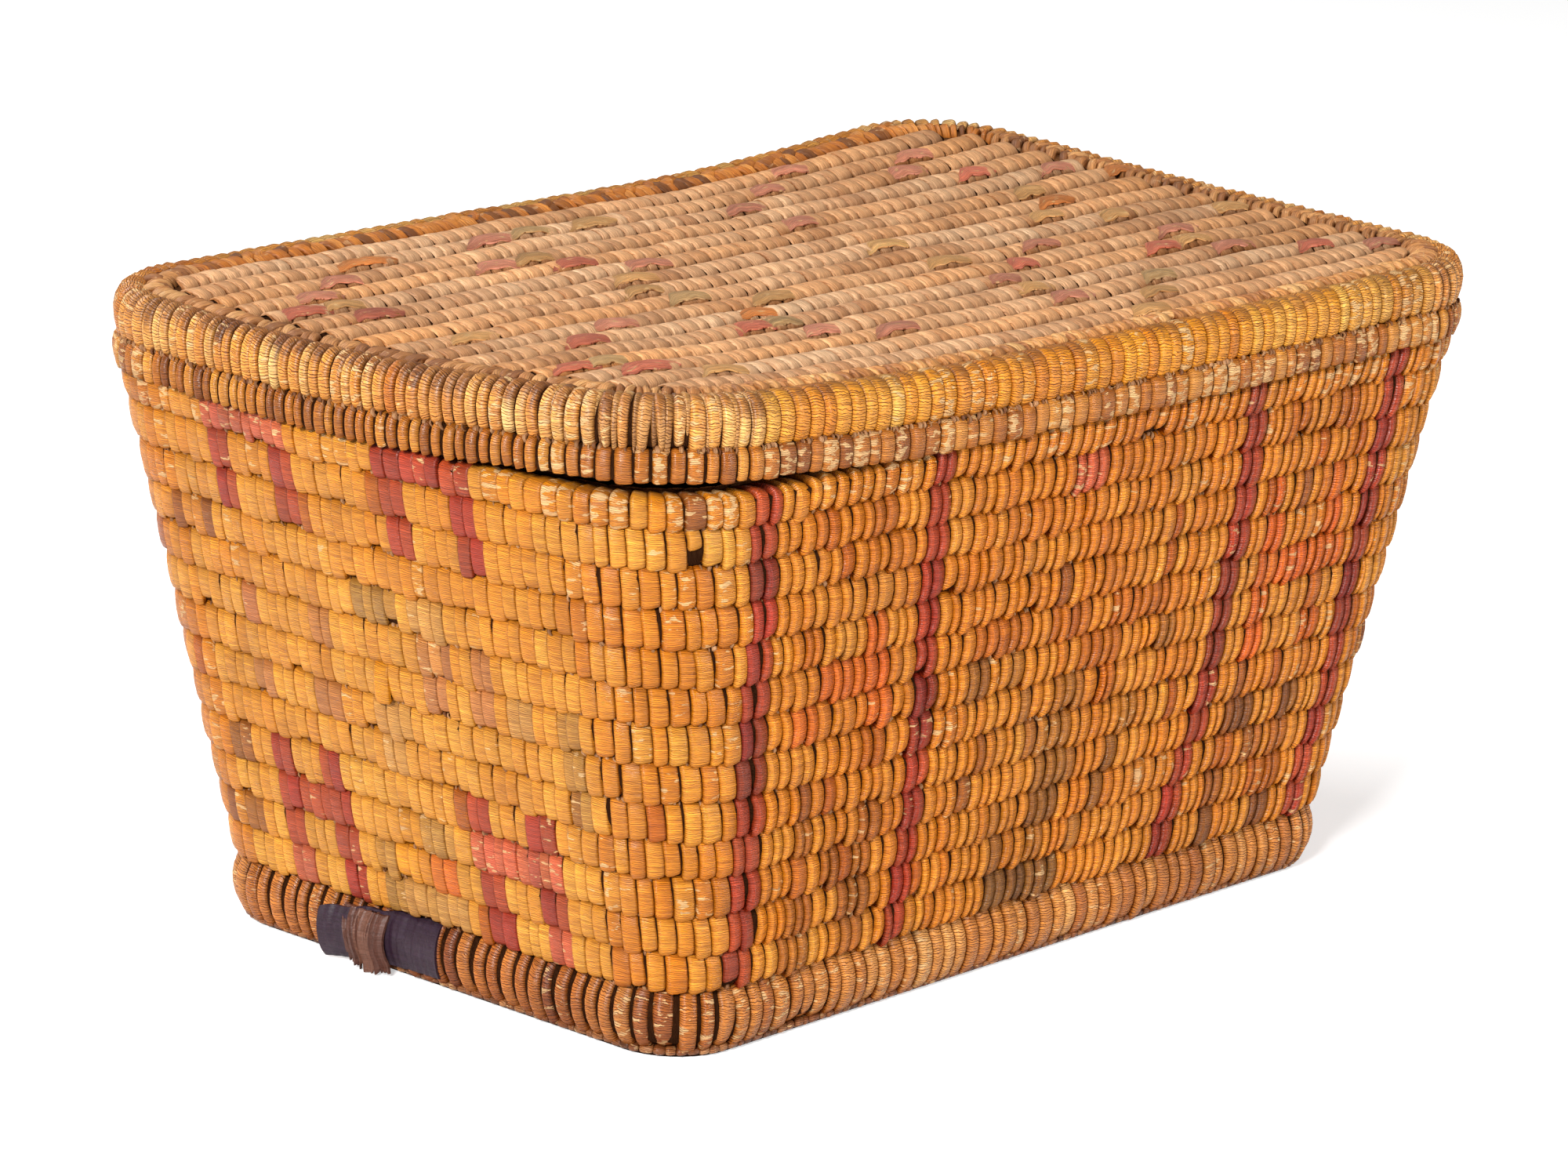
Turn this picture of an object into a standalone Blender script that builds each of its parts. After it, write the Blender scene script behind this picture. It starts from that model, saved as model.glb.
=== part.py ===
"""A coiled and imbricated basketry trunk: flaring walls on a round foot, and a loose flat lid.

Metres, +Z up. The long sides run along X and the front is -Y. The origin is on the
ground, under the middle of the trunk. Each coil of the basket is one course.
"""

import math
from collections import namedtuple

import bmesh
import bpy

# Plan of the trunk, measured on the line where two courses meet
base_half_length = 0.158
base_half_width = 0.100
base_corner_radius = 0.025
rim_half_length = 0.197
rim_half_width = 0.1212
rim_corner_radius = 0.0395

# How far the middle of each side of the rim and the lid swells outwards
long_side_swell = 0.003
short_side_swell = 0.0065

# Wall courses, up to the rim's top
trunk_height = 0.1781
wall_course_count = 12
rim_course_height = 0.0097
wall_thickness = 0.010
wall_bulge = 0.0017
wall_inner_bulge = 0.0012

# Foot
sole_height = 0.0036
sole_inset = 0.0022
sole_thickness = 0.0085
foot_height = 0.0184
foot_thickness = 0.012
foot_bulge = 0.0026
foot_stand_out = 0.0012

# Floor
floor_thickness = 0.0095
floor_border_width = 0.0105
floor_row_count = 12

# Lid
lid_overhang = 0.0033
skirt_height = 0.0086
skirt_thickness = 0.010
skirt_bulge = 0.0008
lip_drop = 0.0012
lip_clearance = 0.0005
edge_height = 0.0143
edge_thickness = 0.0095
edge_bulge = 0.0016
edge_round = 0.0036
lid_border_width = 0.0075
lid_thickness = 0.0098
lid_row_count = 16
near_corner_lift = 0.0048
far_corner_lift = 0.0080
lift_reach = 0.070

# Loose strip on the foot at the short side, with its folded flap
strip_start = -0.003
strip_end = 0.041
strip_thickness = 0.0009
strip_flare = 0.0035
fold_start = 0.016
fold_end = 0.034
fold_depth = 0.0021
fold_ground_clearance = 0.0006

# Air between two pieces that touch
gap = 0.0003

# Faceting
corner_steps = 5
long_side_steps = 5
short_side_steps = 4
strip_steps = 6

# Outer face of a wall course, from its foot to its top: share of the bulge, share of the height
wall_face_shares = ((0.0, 0.0), (0.78, 0.24), (1.0, 0.52), (0.72, 0.8), (0.0, 1.0))
inner_face_shares = ((0.0, 1.0), (1.0, 0.5), (0.0, 0.0))
foot_face_shares = ((0.0, 0.0), (0.62, 0.16), (1.0, 0.48), (0.7, 0.82), (0.08, 1.0))
skirt_face_shares = ((0.55, 0.32), (1.0, 0.62), (0.2, 1.0))
edge_face_shares = ((0.0, 0.0), (0.85, 0.22), (1.0, 0.5))
edge_shoulder_shares = ((0.18, 0.5), (0.48, 0.16), (1.0, 0.0))
row_section_shares = (
    (1.0, 0.0),
    (0.72, 0.72),
    (0.0, 1.0),
    (-0.72, 0.72),
    (-1.0, 0.0),
    (-0.72, -0.72),
    (0.0, -1.0),
    (0.72, -0.72),
)
floor_section_shares = ((1.0, 0.0), (0.6, 1.0), (-0.6, 1.0), (-1.0, 0.0), (-0.6, -1.0), (0.6, -1.0))

# Heights that follow
base_level = sole_height + foot_height
rim_level = trunk_height
rim_seat_level = rim_level - rim_course_height
wall_course_height = (rim_seat_level - base_level) / wall_course_count
skirt_level = rim_level + gap
edge_level = skirt_level + skirt_height
lid_level = edge_level + edge_height
wall_rise = rim_level - base_level

Outline = namedtuple("Outline", "half_length half_width radius long_swell short_swell")

rim_outline = Outline(rim_half_length, rim_half_width, rim_corner_radius, long_side_swell, short_side_swell)
lid_outline = Outline(
    rim_half_length + lid_overhang,
    rim_half_width + lid_overhang,
    rim_corner_radius + lid_overhang,
    long_side_swell,
    short_side_swell,
)
foot_outline = Outline(
    base_half_length + foot_stand_out - foot_bulge,
    base_half_width + foot_stand_out - foot_bulge,
    base_corner_radius + foot_stand_out - foot_bulge,
    0.0,
    0.0,
)
sole_outline = Outline(
    base_half_length - sole_inset,
    base_half_width - sole_inset,
    base_corner_radius - sole_inset,
    0.0,
    0.0,
)


def offset(outline, out):
    """The outline moved outwards, all round, by out."""
    return outline._replace(
        half_length=outline.half_length + out,
        half_width=outline.half_width + out,
        radius=outline.radius + out,
    )


def wall_outline(level):
    """The outline of the flaring wall at a height above the ground."""
    share = (level - base_level) / wall_rise
    return Outline(
        base_half_length + (rim_half_length - base_half_length) * share,
        base_half_width + (rim_half_width - base_half_width) * share,
        base_corner_radius + (rim_corner_radius - base_corner_radius) * share,
        long_side_swell * share,
        short_side_swell * share,
    )


def outline_points(outline):
    """Points of a rounded rectangle, anticlockwise seen from above, with swelling sides."""
    along = outline.half_length - outline.radius
    across = outline.half_width - outline.radius
    corners = ((along, across), (-along, across), (-along, -across), (along, -across))
    points = []
    for quarter, (centre_x, centre_y) in enumerate(corners):
        start = quarter * math.pi / 2
        for step in range(corner_steps + 1):
            angle = start + math.pi / 2 * step / corner_steps
            x = centre_x + outline.radius * math.cos(angle)
            y = centre_y + outline.radius * math.sin(angle)
            points.append((x, y))
        on_long_side = quarter in (0, 2)
        steps = long_side_steps if on_long_side else short_side_steps
        swell = outline.long_swell if on_long_side else outline.short_swell
        normal_x = math.cos(start + math.pi / 2)
        normal_y = math.sin(start + math.pi / 2)
        next_x, next_y = corners[(quarter + 1) % len(corners)]
        for step in range(1, steps):
            share = step / steps
            out = outline.radius + swell * (1 - (2 * share - 1) ** 2)
            x = centre_x + (next_x - centre_x) * share + normal_x * out
            y = centre_y + (next_y - centre_y) * share + normal_y * out
            points.append((x, y))
    return points


def lid_lift(x, y):
    """How far the warped lid stands above its seat: its near and its far corner are lifted."""
    lift = 0.0
    for side, height in ((-1, near_corner_lift), (1, far_corner_lift)):
        away_x = x - side * lid_outline.half_length
        away_y = y - side * lid_outline.half_width
        lift += height * math.exp(-(away_x**2 + away_y**2) / lift_reach**2)
    return lift


def no_lift(x, y):
    return 0.0


def section(height, thickness, bulge, face_shares, inner_bulge):
    """The section of a course as (out, up) points: up its outer face, then down its inner face."""
    outer = [(bulge * out, height * up) for out, up in face_shares]
    inner = [(-thickness - inner_bulge * out, height * up) for out, up in inner_face_shares]
    return outer + inner


def material(name, colour, roughness):
    made = bpy.data.materials.new(name)
    made.use_nodes = True
    shader = made.node_tree.nodes["Principled BSDF"]
    shader.inputs["Base Color"].default_value = (*colour, 1.0)
    shader.inputs["Roughness"].default_value = roughness
    shader.inputs["Metallic"].default_value = 0.0
    return made


def finish(name, bm, made_of, parent, level):
    """Turns the mesh into an object whose origin is on the trunk's middle line at this height."""
    if bm.calc_volume(signed=True) < 0:
        bmesh.ops.reverse_faces(bm, faces=bm.faces)
    mesh = bpy.data.meshes.new(name)
    bm.to_mesh(mesh)
    bm.free()
    mesh.materials.append(made_of)
    mesh.shade_smooth()
    mesh.set_sharp_from_angle(angle=math.radians(40))
    made = bpy.data.objects.new(name, mesh)
    bpy.context.scene.collection.objects.link(made)
    made.parent = parent
    made.location = (0.0, 0.0, level - parent.location.z)
    return made


def loft(name, loops, made_of, parent, level, closed_section, lift=no_lift):
    """Joins loops of points in turn: into a ring where the section is closed, or else into a capped bar."""
    bm = bmesh.new()
    rings = [[bm.verts.new((x, y, z + lift(x, y))) for x, y, z in loop] for loop in loops]
    count = len(rings[0])
    pairs = list(zip(rings, rings[1:] + rings[:1])) if closed_section else list(zip(rings, rings[1:]))
    for first, second in pairs:
        for index in range(count):
            after = (index + 1) % count
            bm.faces.new((first[index], first[after], second[after], second[index]))
    if not closed_section:
        bm.faces.new(rings[0][::-1])
        bm.faces.new(rings[-1])
    return finish(name, bm, made_of, parent, level)


def ring_course(name, outline_at, points, level, made_of, parent, lift=no_lift):
    """A course that runs round the trunk. outline_at gives the outline at a height above its seat."""
    loops = []
    for out, up in points:
        loops.append([(x, y, up) for x, y in outline_points(offset(outline_at(up), out))])
    return loft(name, loops, made_of, parent, level, True, lift)


def end_line(outline, y):
    """How far out the short side of an outline stands, at a distance from the long middle line."""
    across = outline.half_width - outline.radius
    past = abs(y) - across
    if past > 0:
        return outline.half_length - outline.radius + math.sqrt(max(outline.radius**2 - past**2, 0.0))
    return outline.half_length + outline.short_swell * (1 - (y / across) ** 2)


def row_courses(stem, count, outline, thickness, shares, top, made_of, parent, lift=no_lift):
    """Coils laid side by side inside an outline: they follow the swell of its sides and end against it."""
    pitch = 2 * outline.half_width / count
    half_width = (pitch - gap) / 2
    along = outline.half_length - outline.radius
    for index in range(count):
        y = (index + 0.5) * pitch - outline.half_width
        line = [(y + half_width * across, thickness / 2 * up) for across, up in shares]
        loops = [[(gap - end_line(outline, point_y), point_y, up) for point_y, up in line]]
        if outline.long_swell > 0:
            for step in range(long_side_steps + 1):
                x = along * (2 * step / long_side_steps - 1)
                swell = outline.long_swell * y / outline.half_width * (1 - (x / along) ** 2)
                loops.append([(x, point_y + swell, up) for point_y, up in line])
        loops.append([(end_line(outline, point_y) - gap, point_y, up) for point_y, up in line])
        loft(f"{stem}_{index + 1:02d}", loops, made_of, parent, top - thickness / 2, False, lift)


def strip_on_foot(name, start, end, inner, thickness, flare, lowest, made_of, parent):
    """A strip of bark that lies against the foot's outer face, on the short side at -X."""
    face = [(0.0, lowest)]
    face += [(foot_bulge * out, foot_height * up) for out, up in foot_face_shares[1:-1]]
    loops = []
    for step in range(strip_steps + 1):
        share = step / strip_steps
        y = start + (end - start) * share
        stand = inner + flare * share**3
        outer_line = [(out + stand + thickness, up) for out, up in face]
        inner_line = [(out + stand, up) for out, up in reversed(face)]
        loops.append([(-foot_outline.half_length - out, y, up) for out, up in outer_line + inner_line])
    return loft(name, loops, made_of, parent, sole_height, False)


def build_foot(parent, bark, root):
    foot_points = section(foot_height - gap, foot_thickness, foot_bulge, foot_face_shares, 0.0)
    sole_top = sole_height - gap
    sole_points = ((0.0, 0.0), (foot_bulge / 2, sole_top), (-sole_thickness, sole_top), (-sole_thickness, 0.0))
    ring_course("sole_course", lambda up: sole_outline, sole_points, 0.0, root, parent)
    ring_course("foot_course", lambda up: foot_outline, foot_points, sole_height, bark, parent)


def build_floor(parent, root):
    """The floor lies inside the foot, level with the seat of the first wall course."""
    border_outline = offset(foot_outline, -foot_thickness - gap)
    border_points = section(floor_thickness, floor_border_width, 0.0, inner_face_shares[::-1], 0.0)
    border_level = base_level - gap - floor_thickness
    ring_course("floor_border_course", lambda up: border_outline, border_points, border_level, root, parent)
    inside = offset(border_outline, -floor_border_width - gap)
    top = base_level - gap
    row_courses("floor_row", floor_row_count, inside, floor_thickness, floor_section_shares, top, root, parent)


def build_walls(parent, bark):
    for index in range(wall_course_count):
        level = base_level + index * wall_course_height
        points = section(wall_course_height - gap, wall_thickness, wall_bulge, wall_face_shares, wall_inner_bulge)
        ring_course(f"wall_course_{index + 1:02d}", lambda up: wall_outline(level + up), points, level, bark, parent)
    points = section(rim_course_height, wall_thickness, wall_bulge, wall_face_shares, wall_inner_bulge)
    ring_course("rim_course", lambda up: wall_outline(rim_seat_level + up), points, rim_seat_level, bark, parent)


def build_lid(parent, bark, root):
    """The skirt rests on the rim, and its lip hangs just outside the rim's shoulder."""
    lip_inner = wall_bulge / 2 + lip_clearance - lid_overhang
    skirt_top = skirt_height - gap
    skirt_points = [(-skirt_bulge, -lip_drop)]
    skirt_points += [(skirt_bulge * (out - 1), skirt_top * up) for out, up in skirt_face_shares]
    skirt_points += [(-skirt_thickness, skirt_top), (-skirt_thickness, 0.0), (lip_inner, 0.0), (lip_inner, -lip_drop)]
    ring_course("lid_skirt_course", lambda up: lid_outline, skirt_points, skirt_level, bark, parent, lid_lift)

    edge_points = [(edge_bulge * (out - 1), edge_height * up) for out, up in edge_face_shares]
    edge_points += [(-edge_round * across, edge_height - edge_round * down) for across, down in edge_shoulder_shares]
    edge_points += [(-edge_thickness, edge_height), (-edge_thickness, 0.0)]
    ring_course("lid_edge_course", lambda up: lid_outline, edge_points, edge_level, bark, parent, lid_lift)

    border_outline = offset(lid_outline, -edge_thickness - gap)
    border_points = section(lid_thickness, lid_border_width, 0.0, inner_face_shares[::-1], 0.0)
    border_level = lid_level - lid_thickness
    ring_course("lid_border_course", lambda up: border_outline, border_points, border_level, root, parent, lid_lift)

    inside = offset(border_outline, -lid_border_width - gap)
    row_courses("lid_row", lid_row_count, inside, lid_thickness, row_section_shares, lid_level, root, parent, lid_lift)


def build_loose_strip(parent, dark_bark, worn_bark):
    strip_on_foot("foot_loose_strip", strip_start, strip_end, gap, strip_thickness, strip_flare, 0.0, dark_bark, parent)
    stand = gap + strip_thickness + strip_flare * ((fold_end - strip_start) / (strip_end - strip_start)) ** 3 + gap
    drop = fold_ground_clearance - sole_height
    strip_on_foot("foot_strip_fold", fold_start, fold_end, stand, fold_depth, 0.0, drop, worn_bark, parent)


for old in list(bpy.data.objects):
    bpy.data.objects.remove(old, do_unlink=True)

trunk = bpy.data.objects.new("trunk", None)
lid = bpy.data.objects.new("lid", None)
bpy.context.scene.collection.objects.link(trunk)
bpy.context.scene.collection.objects.link(lid)
lid.location = (0.0, 0.0, rim_level)

honey_bark = material("honey_bark", (0.62, 0.33, 0.10), 0.55)
amber_bark = material("amber_bark", (0.55, 0.27, 0.08), 0.5)
brown_bark = material("brown_bark", (0.38, 0.17, 0.06), 0.5)
split_root = material("split_root", (0.48, 0.28, 0.13), 0.75)
dark_bark = material("dark_bark", (0.06, 0.04, 0.06), 0.45)
worn_bark = material("worn_bark", (0.20, 0.13, 0.10), 0.8)

build_foot(trunk, brown_bark, split_root)
build_floor(trunk, split_root)
build_walls(trunk, honey_bark)
build_lid(lid, amber_bark, split_root)
build_loose_strip(trunk, dark_bark, worn_bark)
bpy.context.view_layer.update()
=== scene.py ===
"""Dresses the basketry trunk: every fold of bark and every root stitch is modelled, course by course."""

import math
from collections import namedtuple

import bpy
import numpy as np
from mathutils import Matrix, Vector


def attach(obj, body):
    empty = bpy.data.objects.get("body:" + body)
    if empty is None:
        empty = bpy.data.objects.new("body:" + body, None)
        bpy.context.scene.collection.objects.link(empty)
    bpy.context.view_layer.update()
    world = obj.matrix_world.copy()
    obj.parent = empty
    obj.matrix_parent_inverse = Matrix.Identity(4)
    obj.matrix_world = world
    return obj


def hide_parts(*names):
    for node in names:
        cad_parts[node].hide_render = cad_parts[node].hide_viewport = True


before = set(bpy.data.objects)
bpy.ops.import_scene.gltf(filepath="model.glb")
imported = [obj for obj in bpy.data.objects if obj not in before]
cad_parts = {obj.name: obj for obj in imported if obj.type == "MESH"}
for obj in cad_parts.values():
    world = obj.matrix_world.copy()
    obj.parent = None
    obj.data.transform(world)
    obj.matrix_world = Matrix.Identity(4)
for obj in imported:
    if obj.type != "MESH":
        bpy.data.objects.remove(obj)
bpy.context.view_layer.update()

MM = 0.001

# ---------------------------------------------------------------- camera, as fitted to the photo
CAMERA_AZIMUTH = math.radians(-48.65)
CAMERA_ELEVATION = math.radians(14.83)
CAMERA_ROLL = math.radians(2.47)
CAMERA_PLACE = (-1.36533, -1.19584, 0.57793)
CAMERA_LENS = 137.16
SENSOR_WIDTH = 36.0

# ---------------------------------------------------------------- light: lamp name, place, size, power
ROOM_SIZE = 6.0
ROOM_COLOUR = (1.0, 0.99, 0.97, 1.0)
WHITE = (1.0, 1.0, 1.0, 1.0)
FLOOR_COLOUR = (0.93, 0.93, 0.93, 1.0)
WORLD_STRENGTH = 0.18
FLOOR_GLOW = 0.50
LIT_POINT = Vector((0.0, 0.0, 0.1))
LAMPS = (
    ("key", (-2.1, -0.95, 1.25), 0.5, 70.0),
    ("fill", (0.9, -2.3, 0.8), 0.9, 32.0),
    ("top", (-0.5, 1.5, 1.8), 1.0, 33.0),
)

# ---------------------------------------------------------------- plan and heights of the trunk, in metres
Outline = namedtuple("Outline", "half_length half_width radius long_swell short_swell")
BASE = Outline(0.158, 0.100, 0.025, 0.0, 0.0)
RIM = Outline(0.197, 0.1212, 0.0395, 0.003, 0.0065)
LID_OVERHANG = 0.0033
BASE_LEVEL = 0.022
RIM_SEAT_LEVEL = 0.1684
RIM_LEVEL = 0.1781
SOLE_HEIGHT = 0.0036
FOOT_HEIGHT = 0.0184
WALL_COURSES = 12
COURSE_HEIGHT = (RIM_SEAT_LEVEL - BASE_LEVEL) / WALL_COURSES
RIM_HEIGHT = RIM_LEVEL - RIM_SEAT_LEVEL
WALL_THICKNESS = 0.010
SKIRT_LEVEL = 0.1784
EDGE_LEVEL = 0.187
LID_LEVEL = 0.2013
LID_THICKNESS = 0.0098
EDGE_THICKNESS = 0.0098
LID_BORDER_WIDTH = 0.0075
LID_ROWS = 16
FLOOR_TOP = 0.0217
FLOOR_ROWS = 12
FOOT_THICKNESS = 0.0123
FLOOR_BORDER_WIDTH = 0.0105
GAP = 0.0003
# The lid's two raised corners: side of X and Y that it is on, height, reach
RAISED_CORNERS = ((-1, 0.0053, 0.086), (1, 0.0092, 0.086))

# ---------------------------------------------------------------- colours, linear
HONEY = (0.72, 0.245, 0.008)
PALE_HONEY = (0.84, 0.390, 0.042)
DEEP_HONEY = (0.56, 0.150, 0.003)
AMBER = (0.50, 0.125, 0.002)
BROWN = (0.36, 0.110, 0.012)
DARK_BROWN = (0.20, 0.065, 0.014)
PINK_BROWN = (0.52, 0.185, 0.055)
CREAM = (0.88, 0.560, 0.250)
RED = (0.42, 0.038, 0.014)
DARK_RED = (0.28, 0.022, 0.010)
WORN_RED = (0.62, 0.115, 0.050)
REDS = (RED, DARK_RED, WORN_RED)
ORANGE = (0.68, 0.120, 0.006)
YELLOW = (0.84, 0.330, 0.010)
OLIVE = (0.32, 0.130, 0.018)
DARK_OLIVE = (0.20, 0.095, 0.020)
GREY_OLIVE = (0.60, 0.300, 0.070)
PALE_OLIVE = (0.42, 0.215, 0.042)
ROOT = (0.42, 0.205, 0.080)
ROOT_TAN = (0.62, 0.330, 0.150)
ROOT_GREY = (0.34, 0.215, 0.125)
ROOT_BROWN = (0.26, 0.115, 0.040)
WARM_ROOT = np.array((0.80, 0.360, 0.110))
# Near black: painted shade for the bundles behind the stitches, which show only in holes, notches and gaps
CORE_IN_SHADE = (0.060, 0.026, 0.010)
NAVY = (0.033, 0.012, 0.031)
FLAP = (0.135, 0.048, 0.030)
FLAP_PALE = (0.210, 0.085, 0.050)
RIGHT_END_BROWN = np.array((0.58, 0.215, 0.030))
SPLINTER_BROWN = np.array((0.60, 0.290, 0.085))
LONG_SIDE_WARMING = np.array((0.03, -0.06, -0.10))
# Palettes of one kind of stitch: base, light and dark
HONEYS = (HONEY, PALE_HONEY, DEEP_HONEY)
ROOTS = (ROOT, ROOT_TAN, ROOT_GREY)
TIE_ROOTS = (ROOT, ROOT_TAN, DARK_BROWN)
LID_ROOTS = ((0.79, 0.460, 0.238), (0.89, 0.575, 0.330), (0.56, 0.270, 0.115))
FOOT_SHORT = ((0.46, 0.130, 0.014), (0.66, 0.235, 0.035), (0.28, 0.070, 0.010))
FOOT_LONG = ((0.68, 0.255, 0.036), (0.82, 0.410, 0.110), (0.50, 0.150, 0.018))
SOLE = ((0.30, 0.100, 0.028), (0.52, 0.230, 0.080), (0.15, 0.055, 0.020))
SKIRT_SHORT = ((0.54, 0.170, 0.008), (0.80, 0.340, 0.040), (0.28, 0.078, 0.006))
SKIRT_LONG = ((0.58, 0.190, 0.020), (0.76, 0.315, 0.048), (0.36, 0.105, 0.010))
EDGE_SHORT = ((0.86, 0.390, 0.090), (0.94, 0.630, 0.250), (0.60, 0.180, 0.016))
EDGE_GLOSSY = ((0.87, 0.350, 0.055), (0.95, 0.600, 0.210), (0.62, 0.185, 0.014))
EDGE_LONG = ((0.90, 0.350, 0.012), (0.93, 0.500, 0.070), (0.76, 0.250, 0.010))
EDGE_TOP = ((0.42, 0.165, 0.042), (0.62, 0.290, 0.090), (0.24, 0.085, 0.024))
EDGE_UNDER = ((0.52, 0.250, 0.070), (0.74, 0.430, 0.160), (0.24, 0.095, 0.025))
BORDER_SHORT = ((0.46, 0.195, 0.062), (0.66, 0.330, 0.120), (0.24, 0.090, 0.028))
BORDER_LONG = ((0.70, 0.320, 0.095), (0.86, 0.500, 0.190), (0.44, 0.175, 0.050))
BORDER_BACK = ((0.58, 0.190, 0.022), (0.74, 0.300, 0.060), (0.22, 0.075, 0.014))

# ---------------------------------------------------------------- dyed squares of the walls
# The red pairs on the long side, a line for each row from the top: x at both ends of each bar in mm
PAIR_ROWS = (
    ((-158, -148), (-84, -75), (63, 72), (137, 148)),
    ((-157.5, -147.5), (-84, -75), (65, 75), (137, 148)),
    ((-155.5, -144.5), (-82.5, -72.5), (66, 77), (137, 148)),
    ((-152, -143), (-82, -72), (66, 77), (136, 146)),
    ((-152, -142), (-80.5, -71), (66, 77), (136, 146)),
    ((-151, -141), (-78, -69), (65.5, 75.5), (135, 144.5)),
    ((-149, -139), (-76, -66), (65.5, 74.5), (134, 143)),
    ((-148, -137), (-75.5, -65), (65, 75), (133, 142)),
    ((-145.5, -135), (-74, -64), (64.5, 75), (133, 142)),
    ((-144.5, -134), (-72.5, -63), (64, 74), (132.5, 142)),
    ((-143, -132), (-72, -63), (60, 69), (129.5, 139)),
    ((-141, -131), (-72, -63), (56.5, 67), (126, 136)),
    ((-141, -130), (-72, -63), (55, 66), (124.5, 135)),
)
# The pairs that are dark: row from the top, which pair
DARK_PAIRS = ((3, 0), (7, 0), (8, 0), (7, 2), (8, 2), (6, 2), (5, 3), (6, 3), (7, 3), (8, 3), (7, 1), (8, 1), (3, 3))
# Other squares on the long side: row from the top, colour, x at both ends of each in mm
LONG_SQUARES = (
    (2, WORN_RED, (-18, -2.5)),
    (2, AMBER, (-132, -122), (-108, -98), (88, 98), (114, 124)),
    (4, PALE_HONEY, (-101, -94)),
    (4, ORANGE, (87, 92), (117, 124)),
    (5, AMBER, (-129, -121)),
    (5, ORANGE, (-102, -94), (86, 96), (117, 125)),
    (6, ORANGE, (-120, -90), (85, 131)),
    (6, AMBER, (-52, -26), (-17, 2), (12, 40)),
    (7, ORANGE, (-129, -118), (-97, -86), (85, 94), (115, 122)),
    (7, OLIVE, (-52, -42), (-32, -26)),
    (7, AMBER, (0, 20)),
    (7, OLIVE, (38, 46)),
    (8, AMBER, (-96, -86)),
    (8, OLIVE, (-25, -20), (-9, 5)),
    (8, AMBER, (12, 20)),
    (8, ORANGE, (85, 94), (114, 124)),
    (9, BROWN, (-42, -38), (-20, -14)),
    (9, OLIVE, (-12, 2), (26, 34)),
    (10, BROWN, (-120, -112), (-92, -82), (-48, -42)),
    (10, OLIVE, (-12, 8), (22, 28)),
    (10, DARK_BROWN, (82, 97), (112, 120)),
    (11, AMBER, (-119, -112)),
    (11, BROWN, (-106, -98), (-92, -84)),
    (11, OLIVE, (-30, -25), (-12, 2), (18, 24)),
    (11, AMBER, (80, 90)),
    (11, BROWN, (95, 105), (109, 118)),
    (12, BROWN, (-119, -107), (-96, -82)),
    (12, OLIVE, (-27, -21), (-10, -2), (10, 17)),
    (12, BROWN, (79, 88)),
    (12, AMBER, (100, 118)),
    (13, BROWN, (-119, -106), (-92, -82)),
    (13, DARK_OLIVE, (-26, 8)),
    (13, DARK_BROWN, (79, 86), (105, 115)),
)
# Squares on the short side: row from the top, colour, y at both ends of each in mm
SHORT_SQUARES = (
    (1, WORN_RED, (60.5, 22.5)),
    (1, RED, (-14, -51)),
    (2, RED, (59.5, 50.5), (32, 21.5), (-15, -24.5), (-42, -51)),
    (3, RED, (59, 50), (32, 21.5), (-15.5, -25), (-42.5, -52)),
    (5, GREY_OLIVE, (-17, -30.5)),
    (5, PALE_OLIVE, (6, -12)),
    (6, PINK_BROWN, (58, 51), (27.5, 19), (-17.5, -31), (-39, -47)),
    (7, PINK_BROWN, (-17.5, -27), (-36, -45.5)),
    (7, GREY_OLIVE, (-50, -60)),
    (7, PALE_OLIVE, (-69, -77)),
    (8, PINK_BROWN, (59, 50), (32, 20)),
    (8, GREY_OLIVE, (6, -9)),
    (8, PALE_OLIVE, (-69, -77)),
    (9, GREY_OLIVE, (5, -4)),
    (9, PALE_OLIVE, (-69, -77)),
    (10, RED, (57.5, 49), (36, 27.5), (-26, -35), (-49, -61)),
    (10, BROWN, (75, 67)),
    (11, RED, (57.5, 26)),
    (11, WORN_RED, (-24.5, -61)),
    (11, YELLOW, (5, -4)),
    (11, PALE_OLIVE, (-5, -17.5)),
    (12, RED, (58, 49), (36, 25.5), (-26, -36), (-50, -60.5)),
    (12, PALE_OLIVE, (18, 10)),
    (12, YELLOW, (10, 0)),
    (12, ORANGE, (-5, -16)),
    (12, BROWN, (75, 67)),
    (13, WORN_RED, (57.5, 47.5)),
    (13, RED, (34, 25), (-26, -37.5)),
    (13, WORN_RED, (-51, -60.5)),
    (13, PALE_OLIVE, (17, 9)),
    (13, GREY_OLIVE, (9, -18)),
)

# ---------------------------------------------------------------- dyed strips along the lid's coils
PATCH_PINK = (0.78, 0.310, 0.190)
PATCH_RED = (0.74, 0.210, 0.120)
PATCH_ORANGE = (0.84, 0.300, 0.075)
PATCH_TAN = (0.84, 0.460, 0.170)
PATCH_OLIVE = (0.70, 0.440, 0.190)
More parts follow.
